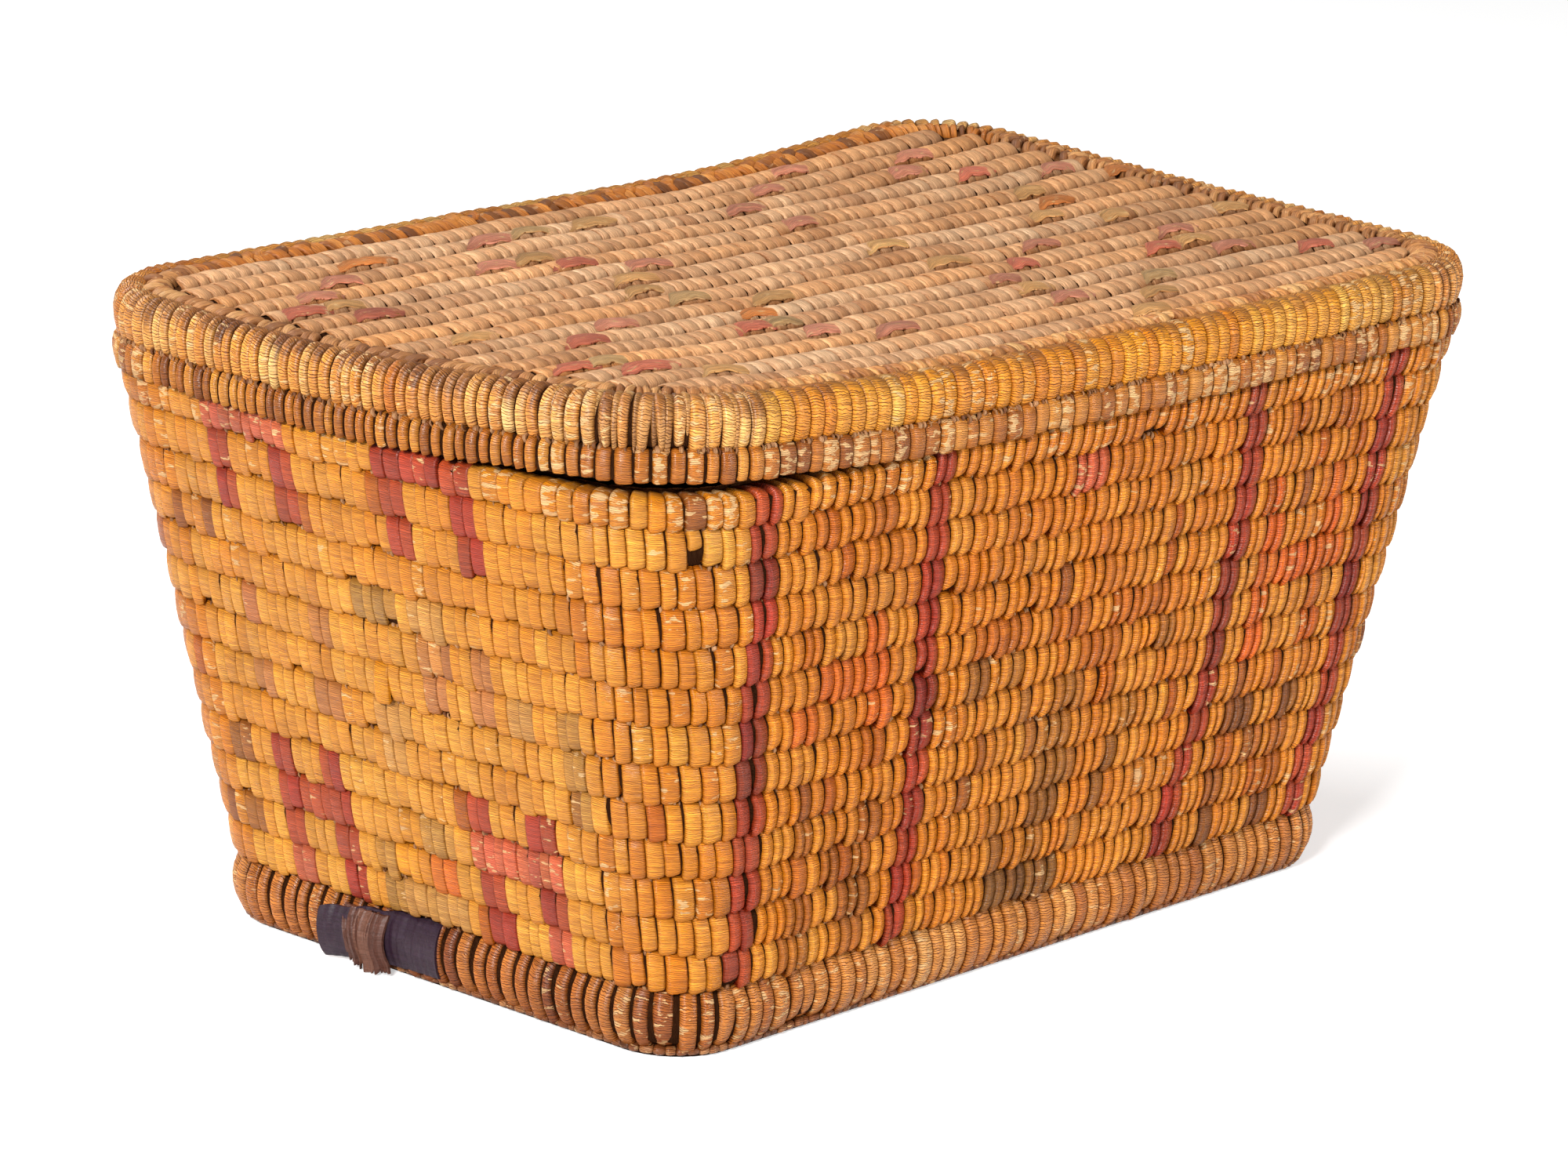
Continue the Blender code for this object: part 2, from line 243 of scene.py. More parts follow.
# Middle x and y in mm, length in mm, colour
LID_PATCHES = (
    (-111, 87, 28, PATCH_ORANGE), (-55, 83, 22, PATCH_PINK), (-37, 93, 20, PATCH_OLIVE), (-10, 92, 22, PATCH_TAN),
    (-134, 74, 20, PATCH_PINK), (-157, 60, 20, PATCH_PINK), (-175, 44, 22, PATCH_RED), (-159, 45, 18, PATCH_TAN),
    (-159, 30, 22, PATCH_RED), (-81, 61, 20, PATCH_PINK), (-65, 63, 18, PATCH_TAN), (-60, 52, 20, PATCH_RED),
    (-41, 33, 22, PATCH_PINK), (-62, 18, 22, PATCH_TAN), (45, 42, 20, PATCH_PINK), (99, 108, 20, PATCH_PINK),
    (74, 85, 20, PATCH_PINK), (145, 89, 20, PATCH_PINK), (127, 77, 18, PATCH_PINK), (47, 69, 18, PATCH_PINK),
    (145, 60, 18, PATCH_RED), (172, 52, 18, PATCH_PINK), (190, 37, 16, PATCH_ORANGE), (39, 8, 22, PATCH_TAN),
    (120, 12, 22, PATCH_TAN), (138, 18, 18, PATCH_ORANGE), (142, 29, 18, PATCH_TAN), (138, -2, 20, PATCH_TAN),
    (37, -19, 22, PATCH_TAN), (-67, -7, 20, PATCH_OLIVE), (-72, 5, 20, PATCH_TAN), (-160, -13, 20, PATCH_TAN),
    (-114, -22, 20, PATCH_PINK), (-45, -23, 22, PATCH_TAN), (82, -22, 20, PATCH_PINK), (180, -24, 18, PATCH_TAN),
    (-139, -39, 20, PATCH_RED), (-66, -36, 18, PATCH_ORANGE), (57, -34, 14, PATCH_RED), (135, -31, 20, PATCH_PINK),
    (-82, -49, 20, PATCH_RED), (-70, -52, 16, PATCH_OLIVE), (-172, -58, 22, PATCH_RED), (-159, -61, 18, PATCH_OLIVE),
    (32, -53, 18, PATCH_PINK), (111, -47, 20, PATCH_RED), (127, -44, 18, PATCH_TAN), (130, -58, 22, PATCH_PINK),
    (-157, -72, 24, PATCH_RED), (-69, -64, 18, PATCH_PINK), (-50, -78, 22, PATCH_PINK), (30, -66, 18, PATCH_TAN),
    (30, -78, 20, PATCH_PINK), (157, -72, 20, PATCH_RED), (75, -77, 20, PATCH_OLIVE), (175, -83, 18, PATCH_PINK),
    (56, -93, 20, PATCH_TAN), (35, -103, 20, PATCH_TAN), (-140, -88, 20, PATCH_TAN),
)

# ---------------------------------------------------------------- sections of the stitches
# Along the face, from its lower end to its upper end: out in mm, up in mm, light share
WALL_FACE = (
    (-0.7, 0.0, 0.2), (0.75, -0.80, 0.4), (1.35, -0.25, 0.75), (1.65, 1.4, 1.0), (1.6, 4.6, 1.0), (1.35, 7.6, 1.0),
    (0.85, 9.9, 0.88), (0.05, 11.6, 0.5), (-1.0, 12.7, 0.2),
)
RIM_FACE = (
    (-0.7, 0.0, 0.2), (0.75, -0.80, 0.4), (1.35, -0.25, 0.75), (1.65, 1.4, 1.0), (1.6, 4.0, 1.0), (1.25, 6.4, 1.0),
    (0.5, 8.2, 1.0), (-1.2, 9.2, 0.9), (-3.6, 9.35, 0.85), (-6.2, 9.2, 0.8), (-8.4, 8.5, 0.7), (-9.5, 7.4, 0.4),
)
FOOT_FACE = (
    (-3.0, -2.3, 0.15), (-1.3, -2.3, 0.4), (0.3, -0.4, 0.75), (1.8, 3.0, 1.0), (2.6, 6.6, 1.0), (2.75, 9.6, 1.0),
    (2.3, 12.8, 1.0), (0.9, 16.3, 0.95), (-1.0, 18.3, 0.5), (-3.0, 18.6, 0.2),
)
SOLE_FACE = ((-2.6, 0.8, 0.3), (-1.2, 0.8, 0.7), (-0.3, 1.2, 1.0), (0.0, 2.0, 0.9), (-0.6, 3.2, 0.4), (-2.2, 3.4, 0.3))
SKIRT_FACE = (
    (-1.55, -0.95, 0.3), (-0.85, -1.2, 0.5), (-0.3, 0.4, 0.9), (0.05, 2.6, 1.0), (0.1, 4.8, 1.0), (-0.3, 6.9, 0.95),
    (-1.3, 8.3, 0.6), (-3.0, 8.5, 0.3),
)
EDGE_FACE = (
    (-2.9, -0.15, 0.25), (-1.5, -0.25, 0.5), (-0.75, 0.9, 0.9), (-0.1, 3.8, 1.0), (0.1, 7.0, 1.0), (-0.5, 10.2, 1.0),
    (-1.8, 12.7, 1.0), (-3.9, 14.3, 1.0), (-6.3, 14.5, 0.95), (-8.3, 13.9, 0.9), (-9.6, 12.9, 0.6),
)
BORDER_FACES = (
    (
        (-9.0, -2.4, 0.4), (-9.9, -0.8, 0.8), (-11.3, 0.25, 1.0), (-13.2, 0.55, 1.0), (-15.0, 0.1, 1.0),
        (-16.4, -1.1, 0.8), (-17.3, -2.6, 0.4),
    ),
    (
        (-7.6, -1.4, 0.5), (-8.3, 0.1, 0.9), (-9.8, 0.75, 1.0), (-11.6, 0.95, 1.0), (-13.4, 0.8, 0.95),
        (-14.4, -0.4, 0.5),
    ),
)
INNER_FACE = (
    (-0.6, -0.2, 0.3), (0.5, 0.7, 0.75), (1.2, 2.6, 1.0), (1.5, 6.0, 1.0), (1.2, 9.4, 1.0), (0.5, 11.4, 0.75),
    (-0.6, 12.3, 0.3),
)
INNER_FACE_HEIGHT = 12.2 * MM
FLOOR_BORDER_FACE = (
    (2.0, -1.6, 0.5), (0.2, -0.5, 0.85), (-3.0, 0.0, 1.0), (-7.5, 0.0, 1.0), (-10.0, -0.8, 0.8), (-10.5, -3.0, 0.3),
)
# A root tie over the joint between two courses
TIE_FACE = ((-1.8, -2.0, 0.4), (-0.2, -1.3, 0.8), (0.35, -0.3, 1.0), (0.1, 0.5, 0.8), (-1.6, 1.2, 0.4))

# Across one stitch, from the edge that comes first going anticlockwise: share, out in mm, light share
SHINGLE = (
    (0.0, -1.50, 0.05), (0.06, -1.15, 0.08), (0.10, -0.35, 0.75), (0.14, 0.10, 1.0), (0.20, 0.42, 1.0),
    (0.26, 0.54, 1.0), (0.33, 0.42, 1.0), (0.50, 0.22, 1.0), (0.82, -0.18, 1.0), (0.895, -0.42, 0.75),
    (0.93, -1.15, 0.08), (1.0, -1.50, 0.05),
)
BEAD = (
    (0.0, -2.0, 0.05), (0.055, -1.55, 0.08), (0.09, -0.75, 0.5), (0.14, -0.15, 0.95), (0.24, 0.24, 1.0),
    (0.34, 0.40, 1.0), (0.44, 0.36, 1.0), (0.64, 0.16, 1.0), (0.80, -0.12, 1.0), (0.88, -0.45, 0.8),
    (0.92, -1.05, 0.3), (0.95, -1.60, 0.08), (1.0, -2.0, 0.05),
)
ROPE = (
    (0.0, -1.6, 0.05), (0.05, -0.95, 0.08), (0.09, -0.25, 0.8), (0.16, 0.12, 1.0), (0.30, 0.26, 1.0),
    (0.60, 0.16, 1.0), (0.86, -0.10, 1.0), (0.91, -0.35, 0.7), (0.945, -0.95, 0.08), (1.0, -1.6, 0.05),
)
PLAIN = ((0.0, -0.9, 0.3), (0.15, -0.1, 0.8), (0.5, 0.25, 1.0), (0.85, -0.1, 0.8), (1.0, -0.9, 0.3))
# Painted light across one stitch: a painted highlight on its ridge and painted shade on the side that the next one
# shades
ACROSS_SHARE = (0.0, 0.14, 0.30, 0.42, 0.80, 1.0)
ACROSS_LIGHT = (0.70, 1.00, 1.22, 1.06, 0.86, 0.62)

# Across a straight coil, from its front foot over its back: shares of half the width; up in mm; light share
ROW_FACE = (
    (-0.98, -4.4, 0.2), (-0.94, -2.6, 0.45), (-0.82, -1.15, 0.85), (-0.55, -0.05, 1.0), (-0.15, 0.50, 1.0),
    (0.28, 0.42, 1.0), (0.66, -0.50, 0.95), (0.91, -2.0, 0.6), (0.99, -4.0, 0.25),
)
UNDER_FACE = ((0.97, -5.6, 0.3), (0.70, -8.4, 0.9), (0.10, -9.6, 1.0), (-0.60, -8.8, 0.9), (-0.97, -5.6, 0.3))
FLOOR_FACE = (
    (-0.97, -2.6, 0.3), (-0.78, -0.7, 0.85), (-0.2, 0.0, 1.0), (0.4, -0.05, 1.0), (0.82, -0.8, 0.8), (0.97, -2.8, 0.3),
)
FLOOR_UNDER_FACE = ((0.95, -6.6, 0.3), (0.60, -9.0, 0.9), (-0.60, -9.0, 0.9), (-0.95, -6.6, 0.3))
# Painted light over a lid coil from its front foot to its back one: a painted highlight on top, painted shade in front
# and in the hollows between coils
ROW_ORDER = (0.0, 0.25, 0.40, 0.60, 0.80, 1.0)
LID_ROW_LIGHT = (0.44, 0.80, 1.0, 1.07, 1.03, 0.62)
EVEN_TONE = (1.0,) * len(ROW_ORDER)

# ---------------------------------------------------------------- sections of the bundles behind the stitches
# Courses: out and up in mm, up the outside and down the inside
FOOT_BACK = -FOOT_THICKNESS / MM
FOOT_SECTION = (
    (-2.4, 0.2), (0.2, 2.0), (1.5, 6.0), (1.8, 9.3), (1.4, 12.8), (0.0, 16.4), (-2.2, 18.0),
    (FOOT_BACK + 0.8, 18.0), (FOOT_BACK + 0.3, 16.0), (FOOT_BACK + 0.3, 2.0), (FOOT_BACK + 0.8, 0.2),
)
SOLE_SECTION = (
    (-2.2, 0.0), (-1.5, 0.4), (-1.0, 1.8), (-1.4, 3.2), (-2.6, 3.3), (-8.0, 3.3), (-8.4, 1.8), (-8.0, 0.0),
)
SKIRT_SECTION = (
    (-1.5, -0.9), (-0.9, 0.5), (-0.7, 3.0), (-0.8, 6.0), (-1.8, 8.2), (-8.0, 8.2), (-8.7, 7.0),
    (-9.1, 4.0), (-8.4, 0.8), (-7.4, 0.05), (-2.4, 0.05), (-2.0, -0.9),
)
EDGE_SECTION = (
    (-2.6, 0.0), (-1.6, 1.0), (-1.1, 4.0), (-1.0, 7.0), (-1.6, 10.0), (-2.8, 12.2), (-4.4, 13.3),
    (-7.6, 13.3), (-9.3, 12.0), (-9.5, 8.0), (-9.2, 5.4), (-8.3, 3.0), (-8.1, 1.0), (-7.6, 0.05),
)
LID_BOTTOM = -LID_THICKNESS / MM
BORDER_SECTION = (
    (-9.9, -2.6), (-11.2, -1.5), (-13.2, -1.2), (-15.2, -1.6), (-17.2, -2.8), (-20.5, -3.8), (-20.5, -4.6),
    (-17.1, -5.4), (-16.2, LID_BOTTOM + 2.2), (-13.5, LID_BOTTOM + 1.4), (-10.6, LID_BOTTOM + 2.2), (-9.9, -5.0),
)
BORDER_UNDER_FACE = (
    (-17.2, LID_BOTTOM + 2.4, 0.4), (-16.2, LID_BOTTOM + 0.3, 0.8), (-14.8, LID_BOTTOM - 0.3, 1.0),
    (-13.0, LID_BOTTOM - 0.5, 1.0), (-11.2, LID_BOTTOM - 0.3, 1.0), (-9.6, LID_BOTTOM + 0.3, 0.8),
    (-8.9, LID_BOTTOM + 2.4, 0.4),
)
FLOOR_BORDER_SECTION = (
    (-0.3, -3.2), (-1.2, -1.4), (-9.2, -1.4), (-10.3, -3.6), (-10.3, -7.0), (-9.4, -9.4), (-1.2, -9.4), (-0.3, -7.0),
)
# Straight coils: shares of half the width and up in mm
LID_ROW_SECTION = (
    (-0.90, -4.0), (-0.72, -1.6), (-0.40, -0.75), (0.0, -0.5), (0.45, -0.8), (0.78, -2.0), (0.90, -4.5),
    (0.80, -7.4), (0.30, -8.9), (-0.40, -8.9), (-0.85, -7.2),
)
FLOOR_ROW_SECTION = (
    (-0.99, -4.2), (-0.70, -2.6), (0.0, -2.0), (0.70, -2.7), (0.99, -4.3), (0.99, -6.2), (0.55, -7.6),
    (-0.55, -7.6), (-0.99, -6.2),
)
CORE_TURNS = 192
ROW_STATIONS = 60
# The bundles' marks: a low shade, painted shade where they show through
CORE_MARK = (0.3, 0.0, 0.5)

# Material slots of every piece
BARK_SLOT = 0
ROOT_SLOT = 1
SHARP_ANGLE = math.radians(62)
# The loose strip on the foot: y at both ends and height in mm; its flap: y at both ends, length down, colour
STRIP_ENDS = (41.5, -3.0)
STRIP_HEIGHT = 17.2
FLAPS = ((35.0, 27.0, 18.0, FLAP), (30.0, 21.5, 20.0, FLAP_PALE), (24.5, 17.5, 18.5, FLAP))


# ---------------------------------------------------------------- plan of the trunk
def wall_outline(z):
    """The outline between base and rim; z may be an array."""
    share = (z - BASE_LEVEL) / (RIM_LEVEL - BASE_LEVEL)
    return Outline(*(low + (high - low) * share for low, high in zip(BASE, RIM)))


def offset(outline, out):
    return Outline(*(size + out for size in outline[:3]), *outline[3:])


LID_OUTLINE = offset(RIM, LID_OVERHANG)
FOOT_OUTLINE = offset(BASE, -0.0014)
SOLE_OUTLINE = offset(BASE, -0.0022)


def upright(outline):
    """An outline that is the same at every height."""
    return lambda z: outline


def lid_lift(x, y):
    lift = 0.0
    for side, height, reach in RAISED_CORNERS:
        away_x = x - side * LID_OUTLINE.half_length
        away_y = y - side * LID_OUTLINE.half_width
        lift = lift + height * np.exp(-(away_x**2 + away_y**2) / reach**2)
    return lift


def no_lift(x, y):
    return 0.0


# Where a course runs: its outline at each height, its own height, and how the lid's warp lifts it
Place = namedtuple("Place", "outline_at level lift", defaults=(no_lift,))


def on_lid(level):
    return Place(upright(LID_OUTLINE), level, lid_lift)


def part_ends(outline):
    """Distances at which the eight parts of an outline meet: side, corner ... from -X, anticlockwise."""
    short = 2 * (outline.half_width - outline.radius)
    long = 2 * (outline.half_length - outline.radius)
    corner = math.pi / 2 * outline.radius
    return np.concatenate(((0.0,), np.cumsum((short, corner, long, corner) * 2)))


def on_plan(outline, turn, out):
    """x and y at a turn from 0 to 8, moved outwards by out. All may be arrays."""
    turn = np.mod(turn, 8.0)
    part = np.minimum(turn.astype(int), 7)
    share = turn - part
    side = part // 2
    corner = part % 2 == 1
    along = outline.half_length - outline.radius
    across = outline.half_width - outline.radius
    begin_x = np.choose(side, (-1, -1, 1, 1)) * along
    begin_y = np.choose(side, (1, -1, -1, 1)) * across
    end_x = np.choose(side, (-1, 1, 1, -1)) * along
    end_y = np.choose(side, (-1, -1, 1, 1)) * across
    angle = math.pi + side * (math.pi / 2) + np.where(corner, share * math.pi / 2, 0.0)
    swell = np.where(side % 2 == 0, outline.short_swell, outline.long_swell)
    reach = outline.radius + out + np.where(corner, 0.0, swell * (1 - (2 * share - 1) ** 2))
    mix = np.where(corner, 1.0, share)
    x = begin_x + (end_x - begin_x) * mix + np.cos(angle) * reach
    y = begin_y + (end_y - begin_y) * mix + np.sin(angle) * reach
    return x, y


# ---------------------------------------------------------------- mesh of one piece
def linked(name, data):
    made = bpy.data.objects.new(name, data)
    bpy.context.scene.collection.objects.link(made)
    return made


def quads(at):
    """Four-sided faces between the neighbours of a grid of vertex numbers."""
    return np.stack((at[:-1, :-1], at[:-1, 1:], at[1:, 1:], at[1:, :-1]), -1).reshape(-1, 4)


class Work:
    """Collects the closed stitches of one piece and makes its mesh.

    Each vertex has a place in the weave (mm along and up), a tint, and marks: shade, wear and a random lot.
    """

    def __init__(self, seed):
        self.rng = np.random.default_rng(seed)
        self.points, self.maps, self.tints, self.marks = [], [], [], []
        self.loops, self.sizes, self.slots = [], [], []
        self.count = 0

    def faces(self, indices, slot):
        self.loops.append(indices.ravel())
        self.sizes.append(np.full(len(indices), indices.shape[1]))
        self.slots.append(np.full(len(indices), slot))

    def store(self, points, maps, tints, marks):
        self.points.append(points.reshape(-1, 3))
        self.maps.append(np.broadcast_to(maps, (*points.shape[:-1], 2)).reshape(-1, 2))
        self.tints.append(np.broadcast_to(tints, points.shape).reshape(-1, 3))
        self.marks.append(np.broadcast_to(marks, points.shape).reshape(-1, 3))
        self.count += len(self.points[-1])

    def grids(self, points, maps, tints, marks, slot, flip=False):
        """Closed stitches, each a grid of points (stitches, rows, columns, 3) shut behind."""
        stitches, rows, columns = points.shape[:3]
        at = np.arange(rows * columns).reshape(rows, columns)
        back = np.stack((at[:-1, 0], at[1:, 0], at[1:, -1], at[:-1, -1]), -1)
        ends = np.stack((at[0, ::-1], at[-1]))
        start = self.count + np.arange(stitches) * rows * columns
        for template in (quads(at), back, ends):
            indices = (template[None] + start[:, None, None]).reshape(-1, template.shape[1])
            self.faces(indices[:, ::-1] if flip else indices, slot)
        self.store(points, maps, tints, marks)

    def ring(self, points, maps, tint, shade):
        """A closed ring: points (loops, points round, 3), both directions closed."""
        at = np.arange(points.shape[0] * points.shape[1]).reshape(points.shape[:2]) + self.count
        after = np.roll(at, -1, 1)
        faces = np.stack((at, after, np.roll(after, -1, 0), np.roll(at, -1, 0)), -1)
        self.faces(faces.reshape(-1, 4), ROOT_SLOT)
        self.store(points, maps, tint, (shade, 0.0, 0.5))

    def rod(self, points, maps):
        """A closed rod: points (stations, points round, 3), with a flat cap at both ends."""
        at = np.arange(points.shape[0] * points.shape[1]).reshape(points.shape[:2]) + self.count
        after = np.roll(at, -1, 1)
        self.faces(np.stack((at[:-1], at[1:], after[1:], after[:-1]), -1).reshape(-1, 4), ROOT_SLOT)
        self.faces(np.stack((at[0], at[-1][::-1])), ROOT_SLOT)
        self.store(points, maps, CORE_IN_SHADE, CORE_MARK)

    def sheet(self, outer, inner, maps, tints, marks, inner_shade=1.0):
        """A closed sheet between two grids of points (rows, columns, 3)."""
        rows, columns = outer.shape[:2]
        top = np.arange(rows * columns).reshape(rows, columns) + self.count
        low = top + rows * columns
        rim = np.concatenate((top[0, :], top[1:, -1], top[-1, -2::-1], top[-2:0:-1, 0]))
        under = rim + rows * columns
        sides = np.stack((rim, under, np.roll(under, -1), np.roll(rim, -1)), -1)
        for faces in (quads(top), quads(low)[:, (0, 3, 2, 1)], sides):
            self.faces(faces, BARK_SLOT)
        self.store(outer, maps, tints, marks)
        self.store(inner, maps, tints, np.array(marks) * (inner_shade, 1.0, 1.0))

    def piece(self, name, body, node, materials):
        mesh = bpy.data.meshes.new(name)
        points = np.concatenate(self.points)
        loops = np.concatenate(self.loops)
        sizes = np.concatenate(self.sizes)
        mesh.vertices.add(len(points))
        mesh.vertices.foreach_set("co", points.ravel())
        mesh.loops.add(len(loops))
        mesh.loops.foreach_set("vertex_index", loops)
        mesh.polygons.add(len(sizes))
        mesh.polygons.foreach_set("loop_start", np.concatenate(((0,), np.cumsum(sizes)[:-1])))
        mesh.polygons.foreach_set("material_index", np.concatenate(self.slots))
        mesh.polygons.foreach_set("use_smooth", np.ones(len(sizes), bool))
        mesh.update(calc_edges=True)
        weave = mesh.uv_layers.new(name="weave")
        weave.data.foreach_set("uv", np.concatenate(self.maps)[loops].ravel())
        for title, values in (("tint", self.tints), ("mark", self.marks)):
            layer = mesh.color_attributes.new(title, "FLOAT_COLOR", "POINT")
            colours = np.ones((len(points), 4))
            colours[:, :3] = np.clip(np.concatenate(values), 0.0, 1.0)
            layer.data.foreach_set("color", colours.ravel())
        for made in materials:
            mesh.materials.append(made)
        mesh.set_sharp_from_angle(angle=SHARP_ANGLE)
        made = linked(name, mesh)
        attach(made, body)
        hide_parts(node)


# ---------------------------------------------------------------- where stitches meet, and their tones
class Seams:
    """Where the stitches of a course meet, as distances round its outline.

    ends are those of the outline's eight parts, and the pitches are those of the short sides, the corners
    and the long sides. Spans of dyed squares keep their start and end.
    """

    LEAST_WIDTH = 0.0024
    EASING = 0.25

    def __init__(self, rng, outline, pitches, jitter, spans=()):
        self.ends = ends = part_ends(outline)
        short, corner, long = np.broadcast_to(pitches, 3)
        fixed = [end for span in spans for end in span[:2]]
        for mark in ends[1:-1]:
            if not any(start - self.LEAST_WIDTH < mark < end + self.LEAST_WIDTH for start, end, _ in spans):
                fixed.append(mark)
        kept = [ends[0]]
        for place in sorted(fixed):
            if place - kept[-1] > self.LEAST_WIDTH:
                kept.append(place)
        kept.append(ends[-1])
        edges = []
        for first, last in zip(kept[:-1], kept[1:]):
            part = min(int(np.searchsorted(ends, (first + last) / 2)) - 1, 7)
            count = max(1, int(round((last - first) / (short, corner, long, corner)[part % 4])))
            shares = np.arange(count) / count
            shares[1:] += rng.uniform(-jitter, jitter, count - 1) / count
            edges.extend(first + (last - first) * shares)
        self.edges = np.array(edges)
        self.widths = np.diff(np.append(self.edges, ends[-1]))
        self.count = len(edges)

    def by_side(self, short, corner, long):
        """One value per stitch: for the short sides, the corners and the long sides, eased at their ends."""
        total = self.ends[-1]
        middles = (self.ends[:-1] + self.ends[1:]) / 2
        values = np.array((short, corner, long, corner) * 2, float)
        known = np.concatenate(((middles[-1] - total,), middles, (middles[0] + total,)))
        closed = np.concatenate(((values[-1],), values, (values[0],)))
        part = np.minimum(np.searchsorted(self.ends, self.edges, side="right") - 1, 7)
        return self.EASING * np.interp(self.edges, known, closed) + (1 - self.EASING) * values[part]

    def each(self, value):
        """One value per stitch from a number, an array or a triple as by_side takes it."""
        return self.by_side(*value) if isinstance(value, tuple) else np.broadcast_to(value, self.edges.shape)

    def nearest(self, part, share):
        """The stitch nearest to a share of a part of the outline."""
        first, last = self.ends[part : part + 2]
        return int(np.argmin(np.abs(self.edges - (first + share * (last - first)))))


def drift(rng, count, window):
    """Noise that runs on from one stitch to the next, about -1 to 1."""
    raw = rng.normal(size=count + window)
    smooth = np.convolve(raw, np.ones(window) / math.sqrt(window), "same")[:count]
    return np.clip(smooth, -2.0, 2.0) / 1.5


def tones(rng, count, window, run_on, uneven):
    """A tone per stitch that runs on by a part and is uneven by the rest."""
    return run_on * drift(rng, count, window) + rng.normal(0.0, uneven, count)


def now_and_then(rng, count, chance, low, high):
    """Values from low to high at a chance, and 0 at the other stitches."""
    return np.where(rng.uniform(0.0, 1.0, count) < chance, rng.uniform(low, high, count), 0.0)


def toned(palette, value):
    """Colours from the palette's dark at -1 over its base at 0 to its light at 1."""
    value = np.clip(value, -1.0, 1.0)[:, None]
    base, light, dark = (np.array(colour) for colour in palette)
    return np.where(value > 0, base + (light - base) * value, base + (dark - base) * -value)


def blended(first, second, share):
    """Colours that go from the first to the second with a share per stitch."""
    return first + (second - first) * share[:, None]


# ---------------------------------------------------------------- laying stitches round an outline
def course_line(index, turn):
    """The uneven line between two wall courses, shared by both; level at the foot and under the lid."""
    if index in (0, WALL_COURSES + 1):
        return np.zeros_like(turn)
    a, b, c = 1.7 * index, 0.9 * index + 2.0, 2.6 * index + 1.0
    swing = 0.45 * np.sin(turn * math.pi / 2 + a) + 0.3 * np.sin(turn * math.pi * 1.5 + b)
    return (swing + 0.25 * np.sin(turn * math.pi * 3.5 + c)) * 0.6 * MM


def between_lines(up, lines, turn, climb):
    """Heights moved with the two uneven lines that a course runs between."""
    low, high = (course_line(index, turn) for index in lines)
    return up + low + (high - low) * climb


def run_along(along, up):
    """Distance along a section, from columns of its points."""
    return np.concatenate(((0.0,), np.cumsum(np.hypot(np.diff(along, axis=0), np.diff(up, axis=0)))))[:, None]


def weave_maps(rng, width, share, run):
    """Places in the weave: mm across each stitch and along its run, from a start of its own."""
    start = rng.uniform(0.0, 400.0, (len(width), 1, 1, 2))
    return np.stack(np.broadcast_arrays(width * share / MM, run), -1) + start


def polished(share, polish):
    """Painted highlight on the ridge and painted shade on the sides of one stitch, from none to the full table."""
    return 1 + (np.interp(share, ACROSS_SHARE, ACROSS_LIGHT) - 1) * polish


# How much the stitches differ by chance, in mm: where they stand, lean, tilt and stand out
PLACE_JITTER, LEAN_JITTER, TILT_JITTER, OUT_JITTER = 0.10, 0.25, 0.16, 0.12

# Ways of a stitch and their usual values. Each may be a number, an array or one for each kind of side
STITCH_WAYS = {
    "amp": 1.0,  # how much of the relief across it shows
    "lean": 0.0,  # mm that its top lags
    "bow": 0.0,  # mm that its middle runs ahead
    "wear": 0.0,
    "cut": 0.0,  # share that is gone from its lower end
    "pop": 0.0,  # mm that its lower end stands out
    "taper": 0.0,  # share that its lower end is narrower
    "seam": 1.0,  # how much painted shade falls in its joints
    "ragged": 0.22,  # mm that its lower end is uneven
    "round_end": 0.9,  # mm that the corners of its lower end are rounded
    "polish": 0.8,  # how much of the painted highlight and shade across it shows
    "overlap": 0.38,  # mm that it passes its two edges
}


